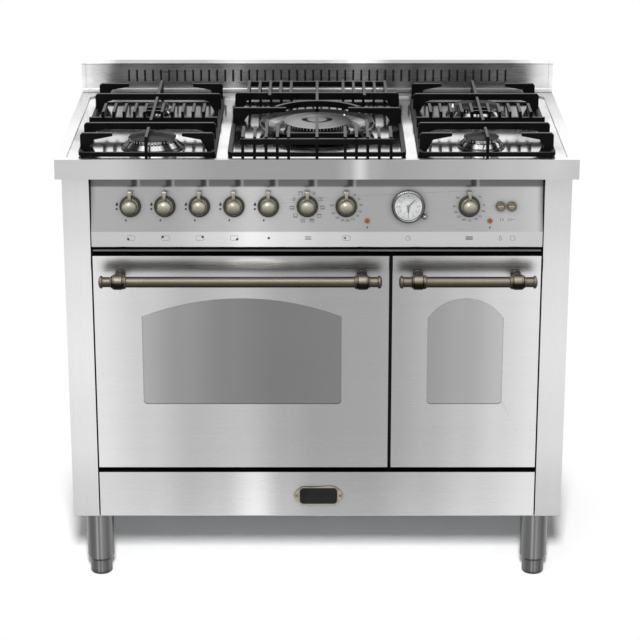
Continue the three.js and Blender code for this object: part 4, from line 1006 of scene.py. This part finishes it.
SLEEVE = [(23.2, 144.0), (33.0, 144.6), (33.2, 142.2), (27.3, 140.4), (27.3, 38.6), (25.4, 34.0),
          (24.8, 33.2), (23.2, 33.1), (23.2, 130.0)]
FOOT = [(0, 0), (18.0, 0), (20.6, 1.0), (22.0, 3.4), (22.2, 6.0), (22.2, 128.0), (0, 128.0)]
for row, y in (("front", -202.5), ("rear", 265.5)):
    for side, x in (("left", -442), ("right", 442)):
        corner, at = f"{row}_{side}", moved(x, y)
        sleeve = lathe(f"sleeve_{corner}", SLEEVE, at, STEEL_LEG, "casing", 72, 0.5)
        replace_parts(sleeve, f"leg_sleeve_{corner}")
        foot = lathe(f"screw_foot_{corner}", FOOT, at, STEEL_LEG, f"{corner}_foot", 64, 0.4)
        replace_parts(foot, f"foot_{corner}")

# ---------------- burners

# x, y, radius of the cap and of the flared ring
CAPS = {"front_left": (-319.5, -167.5, 46, 62), "rear_left": (-325.5, 92.5, 23.5, 34),
        "front_right": (319.5, -167.5, 34.5, 46), "rear_right": (325.5, 92.5, 46, 62)}
WOK = (0, -35.5)
# painted reflections once round and painted shade and reflection up the height, for the small burners' rings
# and for the wok burner's saucer
SKIRT_REFLECTIONS = [(0.0, 0.06), (0.05, 0.02), (0.085, 0.35), (0.11, 0.03), (0.165, 0.02), (0.195, 0.85), (0.30, 0.9),
         (0.335, 0.03), (0.365, 0.02), (0.39, 0.75), (0.415, 0.3), (0.44, 0.03), (0.5, 0.08), (0.75, 0.04),
         (1.0, 0.06)]
SKIRT_HEIGHT_SHADING = [(0.0, 0.4), (0.13, 0.45), (0.2, 0.06), (0.3, 0.1), (0.36, 1.0), (0.9, 1.0), (1.0, 0.6)]
DISH_REFLECTIONS = [(0.0, 0.25), (0.04, 0.5), (0.09, 0.08), (0.2, 0.04), (0.25, 0.12), (0.3, 0.04), (0.4, 0.06),
        (0.46, 0.5), (0.5, 0.3), (0.56, 0.45), (0.62, 0.1), (0.75, 0.15), (0.86, 0.1), (0.93, 0.4),
        (1.0, 0.25)]
DISH_HEIGHT_SHADING = [(0.0, 0.5), (0.4, 1.0), (0.55, 0.8), (0.66, 0.04), (1.0, 0.02)]


def ports(name, at, count, low, high):
    """The teeth between a burner's flame ports, in a ring."""
    teeth = []
    for i in range(count):
        turn = at @ Matrix.Rotation(2 * math.pi * i / count, 4, "Z")
        teeth.append(brick("t", low, high, ALLOY_SATIN, "casing", 0.3, turn))
    joined(name, teeth, ALLOY_SATIN, "casing")


for name, (x, y, cap, ring) in CAPS.items():
    at = moved(x, y)
    flare = [(0, 858), (cap - 8, 858), (cap - 8, SEAT + 0.2), (ring - 0.6, SEAT + 0.2), (ring, SEAT + 1.0),
             (ring - 0.4, SEAT + 2.2), (ring - 4, SEAT + 3.2), (cap + 6, SEAT + 8.4),
             (cap + 2.6, SEAT + 12.4), (cap - 1.4, SEAT + 14.2), (cap - 3.4, SEAT + 14.4), (cap - 3.4, 906.6),
             (0, 906.6)]
    steel = turned_steel(f"burner_steel_{name}", x, y, SKIRT_REFLECTIONS, 887, 903, SKIRT_HEIGHT_SHADING)
    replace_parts(lathe(f"burner_ring_{name}", flare, at, steel, "casing", 72, 0.7), f"burner_body_{name}")
    count = max(16, int(cap * 0.85))
    ports(f"burner_ports_{name}", at, count, (cap - 3.6, -1.2, 901.2), (cap - 1.2, 1.2, 906.6))
    top = [(0, 907.1), (cap - 2.2, 907.1), (cap - 0.5, 907.4), (cap, 908.0), (cap - 0.8, 908.8),
           (cap * 0.88, 910.0), (cap * 0.7, 911.4), (cap * 0.4, 912.7), (0, 913.2)]
    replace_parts(lathe(f"burner_lid_{name}", top, at, CAP_ENAMEL, "casing", 72, 0.5), f"burner_cap_{name}")

wok = moved(*WOK)
SAUCER = [(0, 858), (58, 858), (58, SEAT + 0.2), (72, SEAT + 0.2), (107.5, SEAT + 7.2), (115.2, SEAT + 15.2),
          (115.4, SEAT + 16.0), (112.6, SEAT + 16.0), (104.5, SEAT + 10.2), (88, SEAT + 6.2),
          (74, SEAT + 4.6), (70.5, SEAT + 7.0), (66.5, SEAT + 12.4), (64, SEAT + 14.0), (64, 905.6),
          (35, 905.6), (33.2, SEAT + 6.2), (26.2, SEAT + 6.2), (24, 904.6), (0, 904.6)]
PLATE = [(31.2, 905.9), (65.8, 905.9), (66.8, 906.8), (66.2, 907.8), (62.0, 908.6), (48, 909.6), (36, 910.9),
         (31.4, 910.6), (30.8, 908.4)]
LID = [(0, 905.1), (25, 905.1), (26.0, 905.8), (25.4, 906.6), (21.0, 907.6), (20.0, 909.0), (0, 909.2)]
LID_FACE = [(0, 908.8), (19.6, 908.8), (19.9, 909.5), (18.6, 910.4), (9.0, 910.8), (0, 910.9)]
steel = turned_steel("burner_steel_wok", *WOK, DISH_REFLECTIONS, 887, 904, DISH_HEIGHT_SHADING)
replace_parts(lathe("wok_saucer", SAUCER, wok, steel, "casing", 96, 0.8), "burner_body_wok")
ports("wok_ports", wok, 60, (63.6, -1.1, 900.6), (66.0, 1.1, 905.8))
plate = lathe("wok_plate", PLATE, wok, CAP_GREY, "casing", 96, 0.5, closed=True)
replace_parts(plate, "burner_cap_wok_ring")
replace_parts(lathe("wok_lid", LID, wok, BLACK, "casing", 64, 0.3), "burner_cap_wok_inner")
lathe("wok_lid_face", LID_FACE, wok, CAP_GREY, "casing", 64, 0.3)

IGNITER = [(0, 889.5), (2.6, 889.5), (2.6, 899.5), (1.9, 901.0), (1.6, 904.2), (0, 904.6)]
PROBE = [(0, 889.5), (3.0, 889.5), (3.0, 893.0), (1.7, 894.2), (1.7, 904.0), (0, 905.0)]
WOK_IGNITER = [(0, 890.0), (2.6, 890.0), (2.6, 899.8), (1.8, 901.2), (1.5, 904.6), (0, 905.2)]
for i, (x, y, _, ring) in enumerate(CAPS.values(), 1):
    side, reach = 1 if x < 0 else -1, ring - 9
    dx, dy = side * reach * math.cos(math.radians(30)), reach * math.sin(math.radians(30))
    lathe(f"igniter_{i}", IGNITER, moved(x + dx, y + dy), CERAMIC, "casing", 24, 0.4)
    dx, dy = side * reach * math.cos(math.radians(25)), reach * math.sin(math.radians(25))
    lathe(f"flame_probe_{i}", PROBE, moved(x - dx, y + dy), ALLOY_SATIN, "casing", 24, 0.3)
lathe("igniter_wok", WOK_IGNITER, moved(55, 27), CERAMIC, "casing", 24, 0.4)

# ---------------- badge place on the drawer, left bare

badge = placed(2.9, FRONT, 189.7)


def badge_outline():
    """A rounded plate with a lobe at each end for its screw."""
    out = []
    for side in (1, -1):
        out += [(side * 38, -side * 15), (side * 44, -side * 11)]
        for i in range(9):
            a = math.radians(-70 + 140 * i / 8)
            out.append((side * (44.5 + 4.2 * math.cos(a)), side * 6.8 * math.sin(a)))
        out += [(side * 44, side * 11), (side * 38, side * 15)]
        for i in range(1, 6):
            t = i / 6
            out.append((side * 38 * (1 - t * 0.25), side * (15 + 5.4 * math.sin(t * math.pi / 2))))
        out.append((side * 20, side * 21.3))
    return out


field = rounded(-37.6, 37.6, -17.2, 17.2, 8)
line = rounded(-36.4, 36.4, -16.0, 16.0, 7.2)
within = rounded(-35.9, 35.9, -15.5, 15.5, 6.8)
rim = rounded(-38.4, 38.4, -18.0, 18.0, 8.6)
slab("badge_plate", badge_outline(), 2.2, badge, BRASS_TRIM, "bottom_drawer", 0.7, 40)
slab("badge_field", field, 0.7, badge @ moved(0, 0, 2.0), BLACK, "bottom_drawer", 0.3, 40)
slab("badge_line", line, 0.12, badge @ moved(0, 0, 2.66), BRASS_DARK, "bottom_drawer", 0, 40, [within])
wires("badge_rim", [[(x, y, 2.3) for x, y in rim]], 0.9, BRASS_TRIM, "bottom_drawer", badge, closed=True)
BADGE_SCREW = [(0, 2.0), (2.9, 2.0), (2.8, 3.0), (1.8, 3.7), (0, 3.9)]
for i, x in enumerate((-44.2, 44.2), 1):
    lathe(f"badge_screw_{i}", BADGE_SCREW, badge @ moved(x, 0), SCREW_DARK, "bottom_drawer", 24, 0.3)

# ---------------- stage, light and camera

WHITE = (1.0, 1.0, 1.0, 1.0)


def straight_rays(t):
    """1 for rays from the camera, also by way of a mirror or through glass, and 0 for scattered light."""
    path = t.node("ShaderNodeLightPath").outputs
    seen = t.math("MAXIMUM", path["Is Camera Ray"], path["Is Glossy Ray"])
    return t.math("MAXIMUM", seen, path["Is Transmission Ray"])


def blended(t, share, one, other):
    """One shader turning into the other as share goes from 0 to 1."""
    made = t.node("ShaderNodeMixShader")
    for source, slot in zip((share, one, other), made.inputs):
        t.link(source, slot)
    return made.outputs[0]


def stage_floor():
    """White paper that takes shadows near the cooker and turns into plain white further out."""
    bm = bmesh.new()
    bmesh.ops.create_circle(bm, cap_ends=True, segments=96, radius=9.0)
    mesh = bpy.data.meshes.new("floor")
    bm.to_mesh(mesh)
    bm.free()
    floor = bpy.data.objects.new("floor", mesh)
    scene.collection.objects.link(floor)
    material = bpy.data.materials.new("floor_white")
    material.use_nodes = True
    t = Tree(material.node_tree)
    t.tree.nodes.remove(t.tree.nodes["Principled BSDF"])
    paper = t.node("ShaderNodeBsdfDiffuse")
    glow, lift = t.node("ShaderNodeEmission"), t.node("ShaderNodeEmission")
    for white in (paper, glow):
        white.inputs["Color"].default_value = WHITE
    lift.inputs["Strength"].default_value = 0.01    # keeps the deepest shadow off black
    lit = t.node("ShaderNodeAddShader")
    t.link(paper.outputs[0], lit.inputs[0])
    t.link(lift.outputs[0], lit.inputs[1])
    oval = t.node("ShaderNodeMapping")
    oval.inputs["Scale"].default_value = (1.0, 0.8, 1.0)
    t.link(t.node("ShaderNodeTexCoord").outputs["Object"], oval.inputs["Vector"])
    length = t.node("ShaderNodeVectorMath", operation="LENGTH")
    t.link(oval.outputs["Vector"], length.inputs[0])
    far = t.node("ShaderNodeMapRange", interpolation_type="SMOOTHSTEP")
    far.inputs["From Min"].default_value = 0.5      # metres from the middle
    far.inputs["From Max"].default_value = 0.66
    t.link(length.outputs["Value"], far.inputs["Value"])
    share = t.math("MULTIPLY", far.outputs["Result"], straight_rays(t))
    shown = blended(t, share, lit.outputs[0], glow.outputs[0])
    t.link(shown, t.tree.nodes["Material Output"].inputs["Surface"])
    floor.data.materials.append(material)


def world_light():
    """A dim room that looks plain white to the camera and in mirrors."""
    world = bpy.data.worlds.new("studio")
    scene.world = world
    world.use_nodes = True
    t = Tree(world.node_tree)
    room = t.tree.nodes["Background"]
    room.inputs["Color"].default_value = (0.98, 0.99, 1.0, 1.0)
    room.inputs["Strength"].default_value = 0.14
    shown = t.node("ShaderNodeBackground")
    shown.inputs["Color"].default_value = WHITE
    mixed = blended(t, straight_rays(t), room.outputs[0], shown.outputs[0])
    t.link(mixed, t.tree.nodes["World Output"].inputs["Surface"])


def softbox(name, at, target, size, power, mirrored=True):
    """A lamp of size metres at a place, turned to its target."""
    light = bpy.data.lights.new(name, "AREA")
    light.shape = "RECTANGLE"
    light.size, light.size_y = size
    light.energy = power
    lamp = bpy.data.objects.new(name, light)
    scene.collection.objects.link(lamp)
    lamp.location = at
    lamp.rotation_mode = "QUATERNION"
    lamp.rotation_quaternion = (Vector(target) - Vector(at)).to_track_quat("-Z", "Y")
    lamp.visible_glossy = mirrored


stage_floor()
world_light()
softbox("key", (0.0, -4.6, 3.3), (0, 0, 0.1), (0.5, 0.8), 400, mirrored=False)
softbox("sheen", (-0.7, -2.4, 2.9), (0, 0, 0.7), (1.2, 0.7), 14)
softbox("top", (0.0, 0.9, 3.2), (0, 0, 0.6), (2.6, 1.6), 10)

SENSOR = 36.0
FOCAL = 2317.3      # in pixels of a picture 640 wide
camera = bpy.data.objects.new("camera", bpy.data.cameras.new("camera"))
scene.collection.objects.link(camera)
scene.camera = camera
camera.data.sensor_width = SENSOR
camera.data.lens = FOCAL / 640 * SENSOR
camera.location = (0.0059, -4.5451, 2.0203)
camera.rotation_euler = (math.radians(90 - 18.79), 0, 0)    # looks down by 18.79 degrees
camera.data.clip_start, camera.data.clip_end = 0.05, 100
scene.view_settings.view_transform = "Standard"
